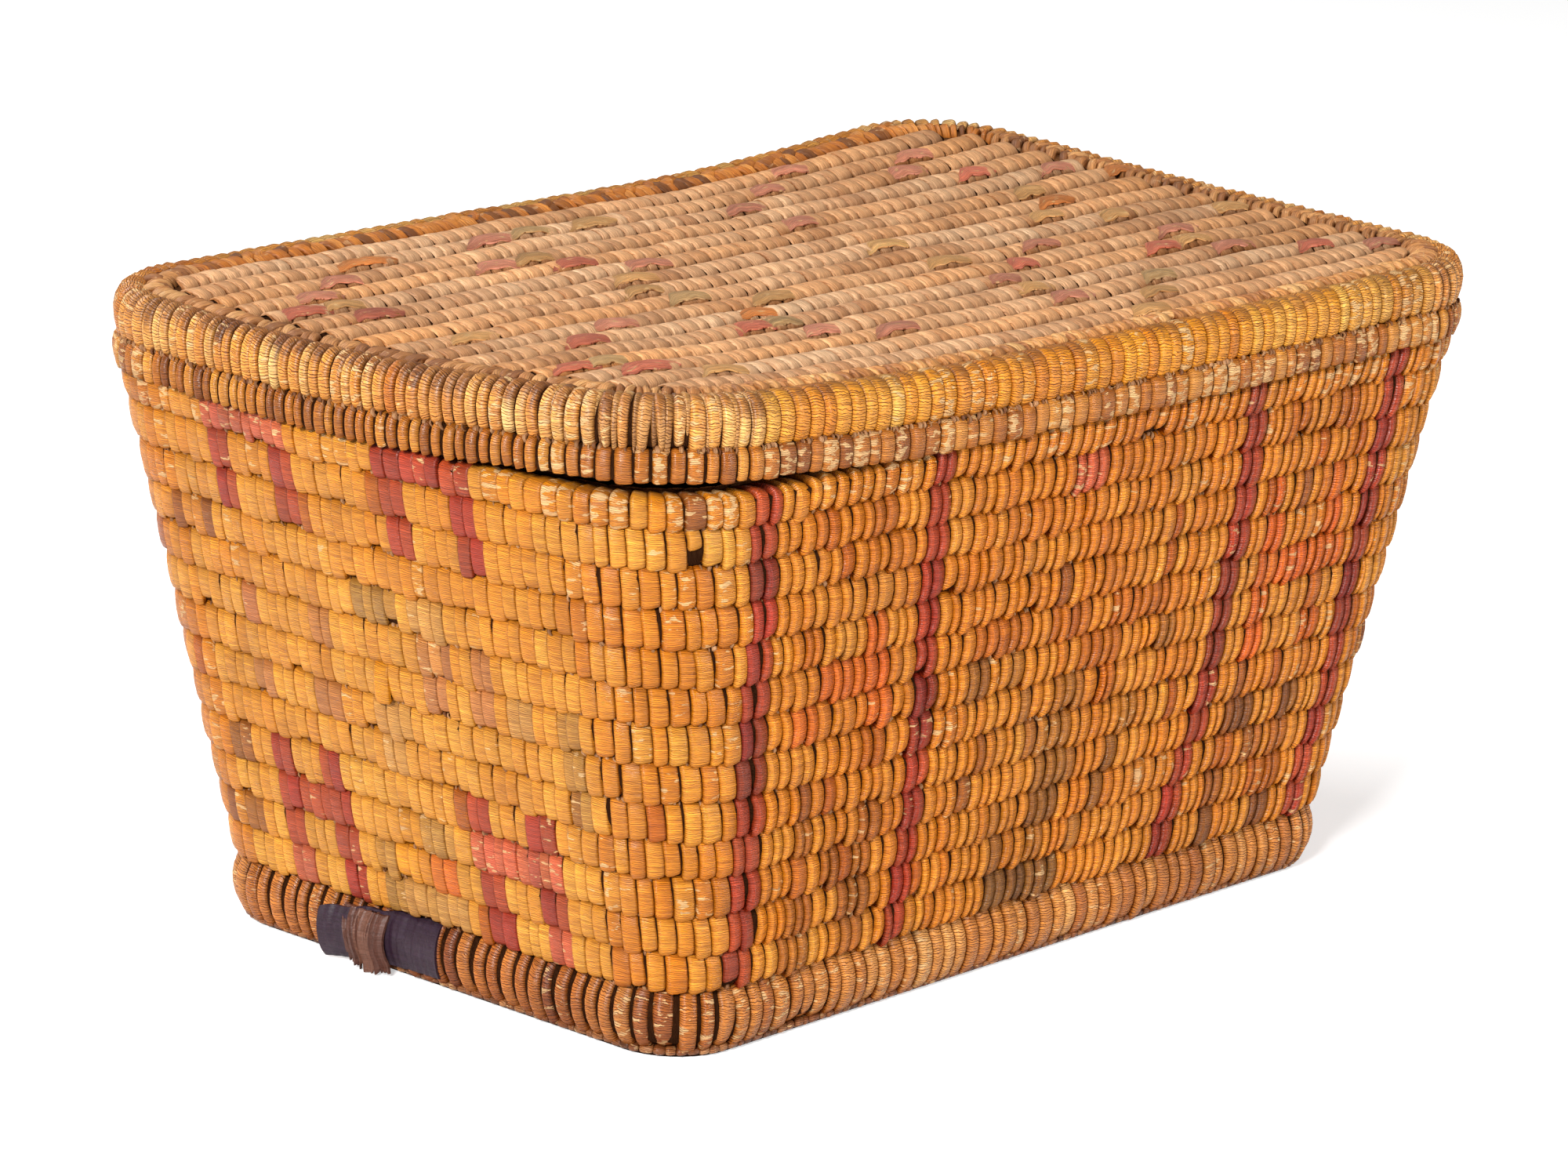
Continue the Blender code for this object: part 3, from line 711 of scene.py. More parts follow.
def lay(work, place, seams, face, across, tints, **ways):
    """Lays one stitch between each two edges of a course, with the sections face and across.

    The ways are those of STITCH_WAYS, and for the course: keep (which stitches are laid), stretch (of the
    section's height), rough (how uneven it is), lines (the two course lines it runs between), base_out
    (metres further out), inward (facing inwards), slot, and upper with upper_start (the colours of the
    upper ends, and the share at which they start).
    """
    rng = work.rng
    keep = np.broadcast_to(ways.get("keep", True), seams.edges.shape)
    amp, lean, bow, wear, cut, pop, taper, seam, ragged, round_end, polish, overlap = (
        seams.each(ways.get(key, usual))[keep][:, None, None] for key, usual in STITCH_WAYS.items()
    )
    edges, width = seams.edges[keep][:, None, None], seams.widths[keep][:, None, None]
    tints = np.asarray(tints)[keep][:, None, None, :]
    stretch, rough = ways.get("stretch", 1.0), ways.get("rough", 1.0)
    face_out, face_up, face_light = np.array(face).T[:, :, None]
    share, relief, light = np.array(across).T
    one_each = (len(edges), 1, 1)

    run = run_along(face_out, face_up)
    climb = run / run[-1]
    overlap = overlap * MM
    narrowed = 0.5 + (share - 0.5) * (1.0 - taper * (1 - climb) ** 1.4)
    along = edges - overlap + (width + 2 * overlap) * narrowed
    along = along + rng.normal(0.0, PLACE_JITTER * rough, one_each) * MM
    along = along - lean * MM * climb**1.6 + rng.normal(0.0, LEAN_JITTER * rough, one_each) * MM * climb
    along = along + bow * MM * np.sin(math.pi * np.clip(climb * 1.1, 0.0, 1.0))
    turn = np.interp(np.mod(along, seams.ends[-1]), seams.ends, np.arange(9.0))

    fullness = np.sin(math.pi * np.clip(climb, 0.04, 0.96)) ** 0.35
    step_out, step_up = np.gradient(face_out, axis=0), np.gradient(face_up, axis=0)
    step = np.hypot(step_out, step_up)
    raised = relief * amp * fullness
    tilt = rng.normal(0.0, TILT_JITTER * rough, one_each) * (share - 0.5)
    out = face_out + raised * (step_up / step) + tilt
    out = (out + rng.normal(0.0, OUT_JITTER * rough, one_each) + pop * (1 - climb)) * MM
    up = face_up * stretch + rng.normal(0.0, 1.0, one_each) * ragged * (1 - climb)
    up = up + cut * (face_up[-1] * stretch - up)
    late, early = np.clip(2 * share - 0.9, 0.0, None) ** 2, 0.5 * np.clip(0.9 - 2 * share, 0.0, None) ** 3
    up = up + round_end * (late + early) * (1 - climb) ** 4 - raised * (step_out / step)
    up = between_lines(up * MM, ways.get("lines", (0, 0)), turn, climb)
    inward = ways.get("inward", False)
    out = (-out if inward else out) + ways.get("base_out", 0.0)
    x, y = on_plan(place.outline_at(place.level + up), turn, out)
    points = np.stack((x, y, place.level + up + place.lift(x, y)), -1)

    maps = weave_maps(rng, width, share, run * stretch)
    # Painted shade from the light shares of the face and across the stitch: darker at the joints and the course lines
    shade = face_light * (1 - (1 - light) * seam)
    lot = rng.uniform(0.0, 1.0, one_each)
    worn = wear * np.interp(share, (0.0, 0.4, 0.7, 1.0), (1.1, 1.1, 0.75, 0.6))
    mark = np.stack(np.broadcast_arrays(shade, worn, lot), -1)
    # Painted highlight on each stitch's ridge and painted shade on its far side
    tone = polished(share, polish)
    if "upper" in ways:
        start = seams.each(ways["upper_start"])[keep][:, None, None] + rng.uniform(-0.15, 0.15, one_each)
        fray = rng.normal(0.0, 0.03, (len(edges), 1, len(share)))
        turned = np.clip((climb - start + fray) / 0.06, 0.0, 1.0)[..., None]
        tints = tints + (ways["upper"][keep][:, None, None, :] - tints) * turned
    work.grids(points, maps, tints * tone[..., None], mark, ways.get("slot", BARK_SLOT), inward)


def core(work, place, section, lines=(0, 0), height=1.0, shade=0.3, tint=CORE_IN_SHADE):
    """The bundle behind the stitches of a course; lines are followed up to its height."""
    out, up = (np.array(section) * MM).T[:, :, None]
    turn = np.linspace(0.0, 8.0, CORE_TURNS, endpoint=False)
    around = np.cumsum(np.abs(out) + np.abs(up))[:, None] / MM
    up = between_lines(up, lines, turn, np.clip(up / height, 0.0, 1.0))
    x, y = on_plan(place.outline_at(place.level + up), turn, out)
    points = np.stack((x, y, place.level + up + place.lift(x, y)), -1)
    work.ring(points, np.stack(np.broadcast_arrays(turn * 60.0, around), -1), tint, shade)


def inner_stitches(work, place, height, base_out=-WALL_THICKNESS, lines=(0, 0)):
    """The plain root sewing that shows inside the trunk."""
    inner = Place(lambda z: offset(place.outline_at(z), base_out), place.level, place.lift)
    seams = Seams(work.rng, inner.outline_at(inner.level), 0.0052, 0.2)
    lay(
        work, inner, seams, INNER_FACE, PLAIN, toned(ROOTS, tones(work.rng, seams.count, 5, 0.5, 0.4)),
        inward=True, stretch=height / INNER_FACE_HEIGHT, slot=ROOT_SLOT, lines=lines, round_end=0.0,
        base_out=0.0006, lean=0.6,
    )


def lay_ties(work, place, line=0, base_out=0.0, kept=0.45):
    """The ends of the root sewing that peep out of the joint above a course."""
    seams = Seams(work.rng, place.outline_at(place.level), 0.0017, 0.3)
    tints = toned(TIE_ROOTS, work.rng.normal(0.0, 0.6, seams.count))
    lay(
        work, place, seams, TIE_FACE, PLAIN, tints, keep=work.rng.uniform(0.0, 1.0, seams.count) < kept,
        amp=0.5, rough=2.2, round_end=0.0, slot=ROOT_SLOT, lines=(line, line), overlap=-0.25, ragged=0.5,
        base_out=base_out, lean=0.5,
    )


# ---------------------------------------------------------------- materials
class Nodes:
    """Short calls for building a node tree."""

    def __init__(self, name):
        self.made = bpy.data.materials.new(name)
        self.made.use_nodes = True
        self.tree = self.made.node_tree
        self.shader = self.tree.nodes["Principled BSDF"]

    def put(self, kind, inputs=(), **settings):
        node = self.tree.nodes.new(kind)
        for key, value in settings.items():
            setattr(node, key, value)
        self.set(node, inputs)
        return node

    def set(self, node, inputs):
        for socket, value in dict(inputs).items():
            if isinstance(value, bpy.types.NodeSocket):
                self.tree.links.new(value, node.inputs[socket])
            else:
                node.inputs[socket].default_value = value

    def math(self, operation, first, second, clamp=False):
        return self.put("ShaderNodeMath", {0: first, 1: second}, operation=operation, use_clamp=clamp).outputs[0]

    def times(self, first, second, clamp=False):
        return self.math("MULTIPLY", first, second, clamp)

    def plus(self, first, second, clamp=False):
        return self.math("ADD", first, second, clamp)

    def span(self, value, low, high, to_low=0.0, to_high=1.0):
        sockets = {"Value": value, "From Min": low, "From Max": high, "To Min": to_low, "To Max": to_high}
        return self.put("ShaderNodeMapRange", sockets).outputs["Result"]

    def mix(self, factor, first, second, blend="MIX"):
        node = self.put("ShaderNodeMix", {0: factor, 6: first, 7: second}, data_type="RGBA", blend_type=blend)
        return node.outputs[2]

    def filtered(self, colour, by):
        return self.mix(1.0, colour, by, "MULTIPLY")

    def noise(self, vector, scale=1.0, detail=3.0, roughness=0.55):
        sockets = {"Vector": vector, "Scale": scale, "Detail": detail, "Roughness": roughness}
        return self.put("ShaderNodeTexNoise", sockets).outputs["Fac"]

    def stretched(self, vector, along, up):
        return self.put("ShaderNodeVectorMath", {0: vector, 1: (along, up, 1.0)}, operation="MULTIPLY").outputs[0]


STAIN = (0.80, 0.60, 0.42, 1.0)
CRACK_DARK = (0.34, 0.20, 0.10, 1.0)
# Dark brown of the dirt and the painted shade in the grooves and joints
SHADE_AND_DIRT = (0.30, 0.13, 0.05, 1.0)


def stitched_material(name, roughness, crack_depth, crack_spacing, bump, cream=CREAM, grain_depth=0.30, on_coil=True):
    """Bark or root: the colour comes from each stitch; grain, cracks, wear, and dirt mixed with painted shade in the
    hollows are laid over it.

    The grain runs along the coil, or else (on_coil False) along each stitch.
    """
    nodes = Nodes(name)
    tint = nodes.put("ShaderNodeVertexColor", layer_name="tint").outputs["Color"]
    mark = nodes.put("ShaderNodeVertexColor", layer_name="mark").outputs["Color"]
    shade, wear, lot = nodes.put("ShaderNodeSeparateColor", {0: mark}).outputs
    place = nodes.put("ShaderNodeUVMap", uv_map="weave").outputs["UV"]
    whole = nodes.put("ShaderNodeTexCoord").outputs["Object"]
    slow, fast = (0.10, 1.7) if on_coil else (1.7, 0.10)
    grain = nodes.noise(nodes.stretched(place, slow, fast), detail=5.0, roughness=0.68)
    fibre = nodes.noise(nodes.stretched(place, slow * 2.5, fast * 3.0), detail=2.0)
    mottle = nodes.noise(nodes.stretched(place, 0.30, 0.40))
    patina = nodes.noise(whole, 55.0)

    axes = nodes.put("ShaderNodeSeparateXYZ", {0: place}).outputs
    rise, drawn = (axes[1], axes[0]) if on_coil else (axes[0], axes[1])
    waver = nodes.noise(nodes.stretched(place, 0.3, 0.3), detail=2.0)
    line = nodes.plus(nodes.times(rise, crack_spacing), nodes.times(waver, 0.55))
    line = nodes.plus(line, nodes.times(drawn, 0.03))
    cells = nodes.put("ShaderNodeTexVoronoi", feature="DISTANCE_TO_EDGE", voronoi_dimensions="1D")
    nodes.set(cells, {"W": line})
    broken = nodes.noise(nodes.stretched(place, 0.30, 0.40), detail=2.0)
    crack = nodes.span(cells.outputs["Distance"], 0.04, 0.15, 1.0, 0.0)
    crack = nodes.times(crack, nodes.span(broken, 0.32, 0.48), True)

    grey = nodes.span(grain, 0.28, 0.72, 1.0 - grain_depth, 1.0 + grain_depth * 0.5)
    grey = nodes.times(grey, nodes.span(fibre, 0.25, 0.75, 0.86, 1.10))
    grey = nodes.times(grey, nodes.span(mottle, 0.3, 0.7, 0.84, 1.12))
    grey = nodes.times(grey, nodes.span(patina, 0.3, 0.7, 0.84, 1.12))
    grey = nodes.put("ShaderNodeCombineColor", {0: grey, 1: grey, 2: grey}).outputs[0]
    colour = nodes.filtered(tint, grey)
    colour = nodes.mix(nodes.span(grain, 0.58, 0.42, 0.0, 0.55), colour, nodes.filtered(colour, STAIN))
    flake = nodes.noise(nodes.stretched(place, 0.26, 0.52), roughness=0.5)
    flake = nodes.plus(flake, nodes.times(wear, 0.34))
    flake = nodes.times(nodes.span(flake, 0.65, 0.68), nodes.span(wear, 0.02, 0.1), True)
    colour = nodes.mix(nodes.times(flake, 0.75), colour, nodes.filtered((*cream, 1.0), grey))
    colour = nodes.mix(nodes.times(crack, crack_depth), colour, nodes.filtered(colour, CRACK_DARK))
    # Dirt and painted shade: where the shade mark is low, in grooves, joints, holes and under things, the colour is
    # darkened towards dark brown
    shade_and_dirt = nodes.math("POWER", nodes.math("SUBTRACT", 1.0, shade, True), 1.3)
    colour = nodes.mix(shade_and_dirt, colour, nodes.filtered(colour, SHADE_AND_DIRT))

    gloss = nodes.span(grain, 0.2, 0.8, roughness + 0.10, roughness - 0.05)
    gloss = nodes.plus(gloss, nodes.times(flake, 0.3))
    gloss = nodes.plus(gloss, nodes.times(shade_and_dirt, 0.4))
    gloss = nodes.plus(gloss, nodes.span(lot, 0.0, 1.0, -0.06, 0.08), True)
    height = nodes.plus(nodes.times(grain, 0.6), nodes.times(fibre, 0.4))
    height = nodes.math("SUBTRACT", height, nodes.times(crack, 1.4))
    height = nodes.math("SUBTRACT", height, nodes.times(flake, 0.35))
    relief = nodes.put("ShaderNodeBump", {"Strength": bump, "Distance": 0.0003, "Height": height})
    # Painted shade: the specular level drops where the shade mark is low
    shine = nodes.span(shade_and_dirt, 0.0, 0.5, 0.5, 0.03)
    sockets = {"Base Color": colour, "Roughness": gloss, "Specular IOR Level": shine}
    nodes.set(nodes.shader, {**sockets, "Normal": relief.outputs["Normal"]})
    return nodes.made


bark = stitched_material("folded_bark", 0.27, crack_depth=0.9, crack_spacing=0.38, bump=0.8)
cracked_bark = stitched_material("cracked_bark", 0.28, crack_depth=1.0, crack_spacing=0.24, bump=0.9)
root = stitched_material(
    "split_root", 0.52, crack_depth=0.5, crack_spacing=0.30, bump=0.6, cream=(0.78, 0.52, 0.27), on_coil=False
)
dark_bark = stitched_material(
    "dark_bark", 0.40, crack_depth=0.4, crack_spacing=0.8, bump=0.6, cream=(0.20, 0.13, 0.14), grain_depth=0.35
)


# ---------------------------------------------------------------- walls
def squares_in(table, row):
    """(first, last, colour) of the squares that a table holds for a row."""
    return [(first, last, colour) for at, colour, *ends in table if at == row for first, last in ends]


def dyed_spans(outline, row):
    """(start, end, colour) round the outline for every dyed square of a row, on all four sides."""
    ends = part_ends(outline)
    long = [
        (first, last, DARK_RED if (row, at) in DARK_PAIRS else RED)
        for at, (first, last) in enumerate(PAIR_ROWS[row - 1])
    ]
    long += squares_in(LONG_SQUARES, row)
    short = squares_in(SHORT_SQUARES, row)
    spans = []
    for part, squares, sign in ((2, long, 1), (6, long, 1), (0, short, -1), (4, short, -1)):
        half = (outline.half_length if squares is long else outline.half_width) - outline.radius
        middle = ends[part] + half
        spans += [(middle + sign * first * MM, middle + sign * last * MM, colour) for first, last, colour in squares]
    return spans


def wall_pitches(row):
    """Width of a square on the short sides, the corners and the long sides: smaller lower down."""
    share = (row - 1) / WALL_COURSES
    return (4.95 - 0.15 * share) * MM, 5.4 * MM, (5.15 - 0.4 * share) * MM


def wall_colours(rng, seams, row, spans):
    """The colour and the wear of every square of a row."""
    count = seams.count
    tone = seams.by_side(0.17, 0.30, 0.25) * tones(rng, count, 7, 1.0, 0.7)
    # Painted light and shade: the short sides are lighter than the long ones, and the courses get lighter going down,
    # away from the lid's shadow
    brightness = seams.by_side(0.20 + 0.05 * row, 0.12, -0.08 + 0.036 * row)
    colours = toned(HONEYS, tone + brightness)
    odd = rng.uniform(0.0, 1.0, count)
    colours[odd < 0.025] = AMBER
    colours[(odd > 0.03) & (odd < 0.04)] = BROWN
    wear = now_and_then(rng, count, seams.by_side(0.04, 0.22, 0.07), 0.08, 0.26)
    middles = seams.edges + seams.widths / 2
    for start, end, colour in spans:
        inside = (middles > start) & (middles < end)
        number = int(inside.sum())
        fading = rng.uniform(*((0.0, 0.15) if colour in REDS else (0.10, 0.42)), (number, 1))
        dyed = np.array(colour) * rng.uniform(0.85, 1.18, (number, 1))
        colours[inside] = dyed + (colours[inside] - dyed) * fading
        wear[inside] = np.where(rng.uniform(0.0, 1.0, number) < 0.10, 0.18, 0.0)
        if colour == WORN_RED:
            wear[inside] = rng.uniform(0.05, 0.30, number)
    # The colours run more orange towards the long sides
    colours = colours * (1.0 + seams.by_side(0.0, 0.2, 1.0)[:, None] * LONG_SIDE_WARMING)
    return colours * rng.uniform(0.92, 1.08, (count, 1)), wear


def rim_wear(rng, seams, wear, spans):
    """Wear of the rim, which is rubbed bare in places but not where it is dyed."""
    dyed = np.zeros(seams.count, bool)
    for start, end, _ in spans:
        dyed |= (seams.edges > start - 1.0 * MM) & (seams.edges < end - 1.0 * MM)
    rubbed = now_and_then(rng, seams.count, seams.by_side(0.22, 0.85, 0.25), 0.12, 0.50)
    return np.where((rubbed > 0) & ~dyed, rubbed, wear)


def wall_section(height, sunk):
    """Section of a wall course's bundle, its top sunk by some mm."""
    inside = -WALL_THICKNESS / MM
    top = height / MM
    return (
        (-1.0, 0.0), (0.3, 1.2), (0.75, top * 0.4), (0.65, top * 0.7), (-0.4 - sunk, top - 0.6 - sunk),
        (-1.2 - sunk, top - 0.3 - sunk), (inside + 2.0 + sunk, top - 0.3 - sunk),
        (inside + 1.0, top - 1.2 - sunk), (inside + 0.5, top * 0.5), (inside + 1.0, 1.2), (inside + 2.0, 0.0),
    )


def build_walls():
    for index in range(WALL_COURSES + 1):
        row = WALL_COURSES + 1 - index
        is_rim = index == WALL_COURSES
        height = RIM_HEIGHT if is_rim else COURSE_HEIGHT
        place = Place(wall_outline, BASE_LEVEL + index * COURSE_HEIGHT)
        work = Work(100 + index)
        outline = wall_outline(place.level + height / 2)
        spans = dyed_spans(outline, row)
        seams = Seams(work.rng, outline, wall_pitches(row), 0.16, spans)
        colours, wear = wall_colours(work.rng, seams, row, spans)
        if is_rim:
            wear = rim_wear(work.rng, seams, wear, spans)
        cut = now_and_then(work.rng, seams.count, seams.by_side(0.09, 0.03, 0.04), 0.04, 0.13)
        pop = now_and_then(work.rng, seams.count, 0.08, 0.1, 0.5)
        if row == 2:
            broken = seams.nearest(1, 0.62)
            cut[broken : broken + 2] = (0.50, 0.12)
        if row == 7:
            splinter = seams.nearest(0, 0.48)
            pop[splinter], cut[splinter], colours[splinter] = 2.2, -0.12, YELLOW
        lines = (index, index + 1)
        lay(
            work, place, seams, RIM_FACE if is_rim else WALL_FACE, SHINGLE, colours, wear=wear, cut=cut, pop=pop,
            lines=lines, amp=(0.62, 1.05, 1.6), lean=(0.5, 0.2, -0.9), bow=(-0.2, 0.4, 1.7), seam=(0.65, 0.9, 1.0),
            ragged=(0.66, 0.40, 0.80), round_end=(0.7, 1.3, 1.3), polish=(0.55, 0.9, 1.15),
        )
        if not is_rim:
            lay_ties(work, Place(wall_outline, place.level + height), index + 1)
        core(work, place, wall_section(height, 1.4 if is_rim else 0.0), lines, height)
        inner_stitches(work, place, height, lines=lines)
        name = "rim_course" if is_rim else f"wall_course_{index + 1:02d}"
        work.piece(f"{name}_sewn", "trunk", name, (bark, root))


# ---------------------------------------------------------------- foot and sole
def build_foot():
    work = Work(11)
    rng = work.rng
    place = Place(upright(FOOT_OUTLINE), SOLE_HEIGHT)
    seams = Seams(rng, FOOT_OUTLINE, (0.0057, 0.0061, 0.0058), 0.14)
    count, edges, ends = seams.count, seams.edges, seams.ends
    tone = tones(rng, count, 5, 0.5, 0.5)
    colours = blended(toned(FOOT_SHORT, tone), toned(FOOT_LONG, tone), seams.by_side(0.0, 0.3, 1.0))
    wear = now_and_then(rng, count, seams.by_side(0.08, 0.5, 0.35), 0.08, 0.32)
    frayed = seams.by_side(0.08, 0.10, 0.08) * rng.uniform(0.0, 1.0, count) ** 2
    near_corner = (edges > ends[1]) & (edges < ends[2] + 0.03)
    frayed = np.where(near_corner, 0.17 * rng.uniform(0.0, 1.0, count) ** 1.3, frayed)
    lay(
        work, place, seams, FOOT_FACE, BEAD, colours, wear=wear, cut=frayed, ragged=0.33, round_end=0.0,
        amp=(1.9, 1.4, 0.65), lean=(0.4, 0.6, 2.6), bow=(-0.9, -0.3, 0.4), seam=(1.0, 1.0, 0.9),
        polish=(1.8, 1.3, 0.8), overlap=(-0.40, -0.05, 0.30),
    )
    lay_ties(work, Place(upright(FOOT_OUTLINE), SOLE_HEIGHT + FOOT_HEIGHT - 0.0004), base_out=0.0004)
    core(work, place, FOOT_SECTION)
    work.piece("foot_course_sewn", "trunk", "foot_course", (cracked_bark, root))


def build_sole():
    work = Work(12)
    place = Place(upright(SOLE_OUTLINE), 0.0)
    seams = Seams(work.rng, SOLE_OUTLINE, 0.0036, 0.25)
    colours = toned(SOLE, work.rng.normal(0.0, 1.0, seams.count) * 0.5)
    lay(
        work, place, seams, SOLE_FACE, BEAD, colours, amp=0.6, round_end=0.0, wear=0.1, rough=0.6, ragged=0.08,
    )
    core(work, place, SOLE_SECTION)
    work.piece("sole_course_sewn", "trunk", "sole_course", (bark, root))


# ---------------------------------------------------------------- courses round the lid
def build_skirt():
    work = Work(21)
    seams = Seams(work.rng, LID_OUTLINE, (0.0042, 0.0050, 0.0061), 0.14)
    tone = tones(work.rng, seams.count, 6, 0.5, 0.5)
    colours = blended(toned(SKIRT_SHORT, tone), toned(SKIRT_LONG, tone), seams.by_side(0.0, 0.7, 1.0))
    wear = now_and_then(work.rng, seams.count, seams.by_side(0.04, 0.5, 0.62), 0.16, 0.52)
    lay(
        work, on_lid(SKIRT_LEVEL), seams, SKIRT_FACE, BEAD, colours, wear=wear, round_end=0.0, lean=0.3, ragged=0.3,
        amp=(1.9, 1.0, 0.55), seam=(1.0, 0.9, 0.6), polish=(1.3, 1.0, 0.6), overlap=(-0.30, 0.10, 0.30),
    )
    lay_ties(work, on_lid(SKIRT_LEVEL + 0.0083), base_out=-0.0009, kept=0.6)
    core(work, on_lid(SKIRT_LEVEL), SKIRT_SECTION)
    inner_stitches(work, on_lid(SKIRT_LEVEL), 0.0080, -0.0094)
    work.piece("lid_skirt_sewn", "lid", "lid_skirt_course", (bark, root))


def build_edge():
    """The tall tiles round the lid: splintered at the near corner, browned at the right end, bent over on top."""
    work = Work(22)
    rng, place = work.rng, on_lid(EDGE_LEVEL)
    seams = Seams(rng, LID_OUTLINE, (0.0043, 0.0052, 0.0057), 0.14)
    count, edges, ends = seams.count, seams.edges, seams.ends
    tone = tones(rng, count, 6, 0.4, 0.35)
    short_run = (edges < ends[1]) * np.clip((ends[1] - edges) / 0.06 - 0.2, 0.0, 1.0)
    amber = blended(toned(EDGE_SHORT, tone), toned(EDGE_GLOSSY, tone), short_run)
    yellow = toned(EDGE_LONG, tone)
    colours = blended(amber, yellow, seams.by_side(0.0, 0.2, 1.0))
    right_end = (edges < ends[4]) * np.clip((edges - ends[3]) / 0.035 + 1.5, 0.0, 1.0)
    colours = blended(colours, RIGHT_END_BROWN, 0.5 * right_end)
    wear = now_and_then(rng, count, seams.by_side(0.55, 0.6, 0.16) + 0.35 * right_end, 0.10, 0.42)
    far = np.clip((edges - ends[3]) / 0.04, 0.0, 1.0) * np.clip((ends[8] - edges) / 0.04, 0.0, 1.0)
    upper = blended(toned(EDGE_TOP, rng.normal(0.0, 0.5, count)), amber * 0.9, 0.8 * far)
    upper = blended(upper, yellow * 0.9, seams.by_side(0.0, 0.1, 0.45))
    corner = ends[2] - ends[1]
    near_corner = (edges > ends[1] + 0.1 * corner) & (edges < ends[1] + 0.62 * corner)
    splintered = np.where(near_corner, rng.uniform(0.2, 1.0, count), 0.0)
    colours = blended(colours, SPLINTER_BROWN, np.minimum(splintered * 1.1, 1.0))
    under = Seams(rng, LID_OUTLINE, 0.0031, 0.3)
    lay(
        work, place, under, EDGE_FACE, BEAD, toned(EDGE_UNDER, rng.normal(0.0, 0.7, under.count)),
        keep=(under.edges > ends[1] - 0.004) & (under.edges < ends[2]), base_out=-0.0007, ragged=1.3,
        round_end=0.5, taper=0.6, rough=1.8, amp=0.8, cut=rng.uniform(-0.10, 0.08, under.count),
    )
    lay(
        work, place, seams, EDGE_FACE, BEAD, colours, wear=wear, round_end=0.5, bow=-0.25, ragged=0.3,
        lean=0.4 + splintered * rng.normal(0.0, 1.3, count), upper=upper, upper_start=(0.55, 0.52, 0.66),
        taper=splintered * 0.7, pop=splintered * 0.7, cut=splintered * rng.uniform(-0.05, 0.16, count),
        amp=(1.5, 1.2, 0.5), seam=(1.0, 1.0, 0.7), polish=(1.5, 1.2, 0.6), overlap=(0.0, 0.15, 0.40),
    )
    core(work, place, EDGE_SECTION)
    inner_stitches(work, on_lid(EDGE_LEVEL + 0.0002), 0.0050, -0.0090)
    work.piece("lid_edge_sewn", "lid", "lid_edge_course", (cracked_bark, root))


def build_border():
    """Two crossing layers of stitches over the border, and plain ones under it."""
    work = Work(23)
    rng, place = work.rng, on_lid(LID_LEVEL)
    for row, (pitch, lean) in enumerate(((3.9, 3.2), (4.8, -2.4))):
        seams = Seams(rng, LID_OUTLINE, pitch * MM, 0.25)
        tone = tones(rng, seams.count, 4, 0.4, 0.55)
        colours = blended(toned(BORDER_SHORT, tone), toned(BORDER_LONG, tone), seams.by_side(0.15, 0.35, 1.0))
        back = (seams.edges > seams.ends[5]) & (seams.edges < seams.ends[7])
        glossy = toned(BORDER_BACK, rng.normal(0.0, 0.8, seams.count))
        colours = np.where(back[:, None], glossy, colours)
        keep = rng.uniform(0.0, 1.0, seams.count) < 1.0 - row * (0.35 + 0.45 * back)
        lay(
            work, place, seams, BORDER_FACES[row], BEAD, colours, amp=1.2, round_end=0.0, lean=lean, rough=2.0,
            slot=ROOT_SLOT, seam=1.0, wear=0.06, overlap=0.20 - 0.3 * row, keep=keep,
        )
    seams = Seams(rng, LID_OUTLINE, 0.0052, 0.2)
    tints = toned(ROOTS, rng.normal(0.0, 0.5, seams.count))
    lay(work, place, seams, BORDER_UNDER_FACE, PLAIN, tints, round_end=0.0, slot=ROOT_SLOT, amp=0.5)
    # The border's bundle is dark brown with a low shade mark: painted shade where it shows between the stitches
    core(work, place, BORDER_SECTION, shade=0.5, tint=ROOT_BROWN)
    work.piece("lid_border_sewn", "lid", "lid_border_course", (bark, root))


# ---------------------------------------------------------------- straight coils of the lid and the floor
# One straight coil along X: the outline it ends at, its middle y, the height of its top, and which of how many
Coil = namedtuple("Coil", "outline y half_width top lift index rows")


def coils_in(outline, top, lift, rows):
    """The straight coils, side by side, that fill an outline."""
    pitch = 2 * outline.half_width / rows
    for index in range(rows):
        yield Coil(outline, (index + 0.5) * pitch - outline.half_width, pitch / 2, top, lift, index, rows)


def end_reach(outline, y):
    """How far out the short side of an outline stands at each y."""
    across = outline.half_width - outline.radius
    past = np.clip(np.abs(y) - across, 0.0, outline.radius)
    straight = outline.half_length + outline.short_swell * (1 - (y / across) ** 2)
    turned = outline.half_length - outline.radius + np.sqrt(np.maximum(outline.radius**2 - past**2, 0.0))
    return np.where(np.abs(y) > across, turned, straight)


def kept_inside(outline, x, y, margin):
    """x held inside the short sides of an outline by a margin."""
    limit = end_reach(outline, np.clip(y, -outline.half_width, outline.half_width)) - margin
    return np.clip(x, -limit, limit)


def row_line(index, rows, x):
    """The uneven line between two straight coils, shared by both; straight at the first and the last."""
    if index in (0, rows):
        return np.zeros_like(x)
    return (0.55 * np.sin(x * 29.0 + 2.1 * index) + 0.35 * np.sin(x * 71.0 + 1.3 * index)) * MM


def row_place(coil, share, x):
    """y of a point of a straight coil at a share of half its width."""
    outline = coil.outline
    along = outline.half_length - outline.radius
    swell = outline.long_swell * coil.y / outline.half_width * (1 - np.clip(np.abs(x) / along, 0.0, 1.0) ** 2)
    mix = (share + 1) / 2
    wander = row_line(coil.index, coil.rows, x) * (1 - mix) + row_line(coil.index + 1, coil.rows, x) * mix
    return coil.y + share * coil.half_width + swell + wander


def humps(coil, x):
    """How much higher a straight coil runs at x, in mm."""
    return 0.6 * (0.5 * np.sin(x * 47.0 + coil.y * 900.0) + 0.35 * np.sin(x * 113.0 + coil.y * 433.0))


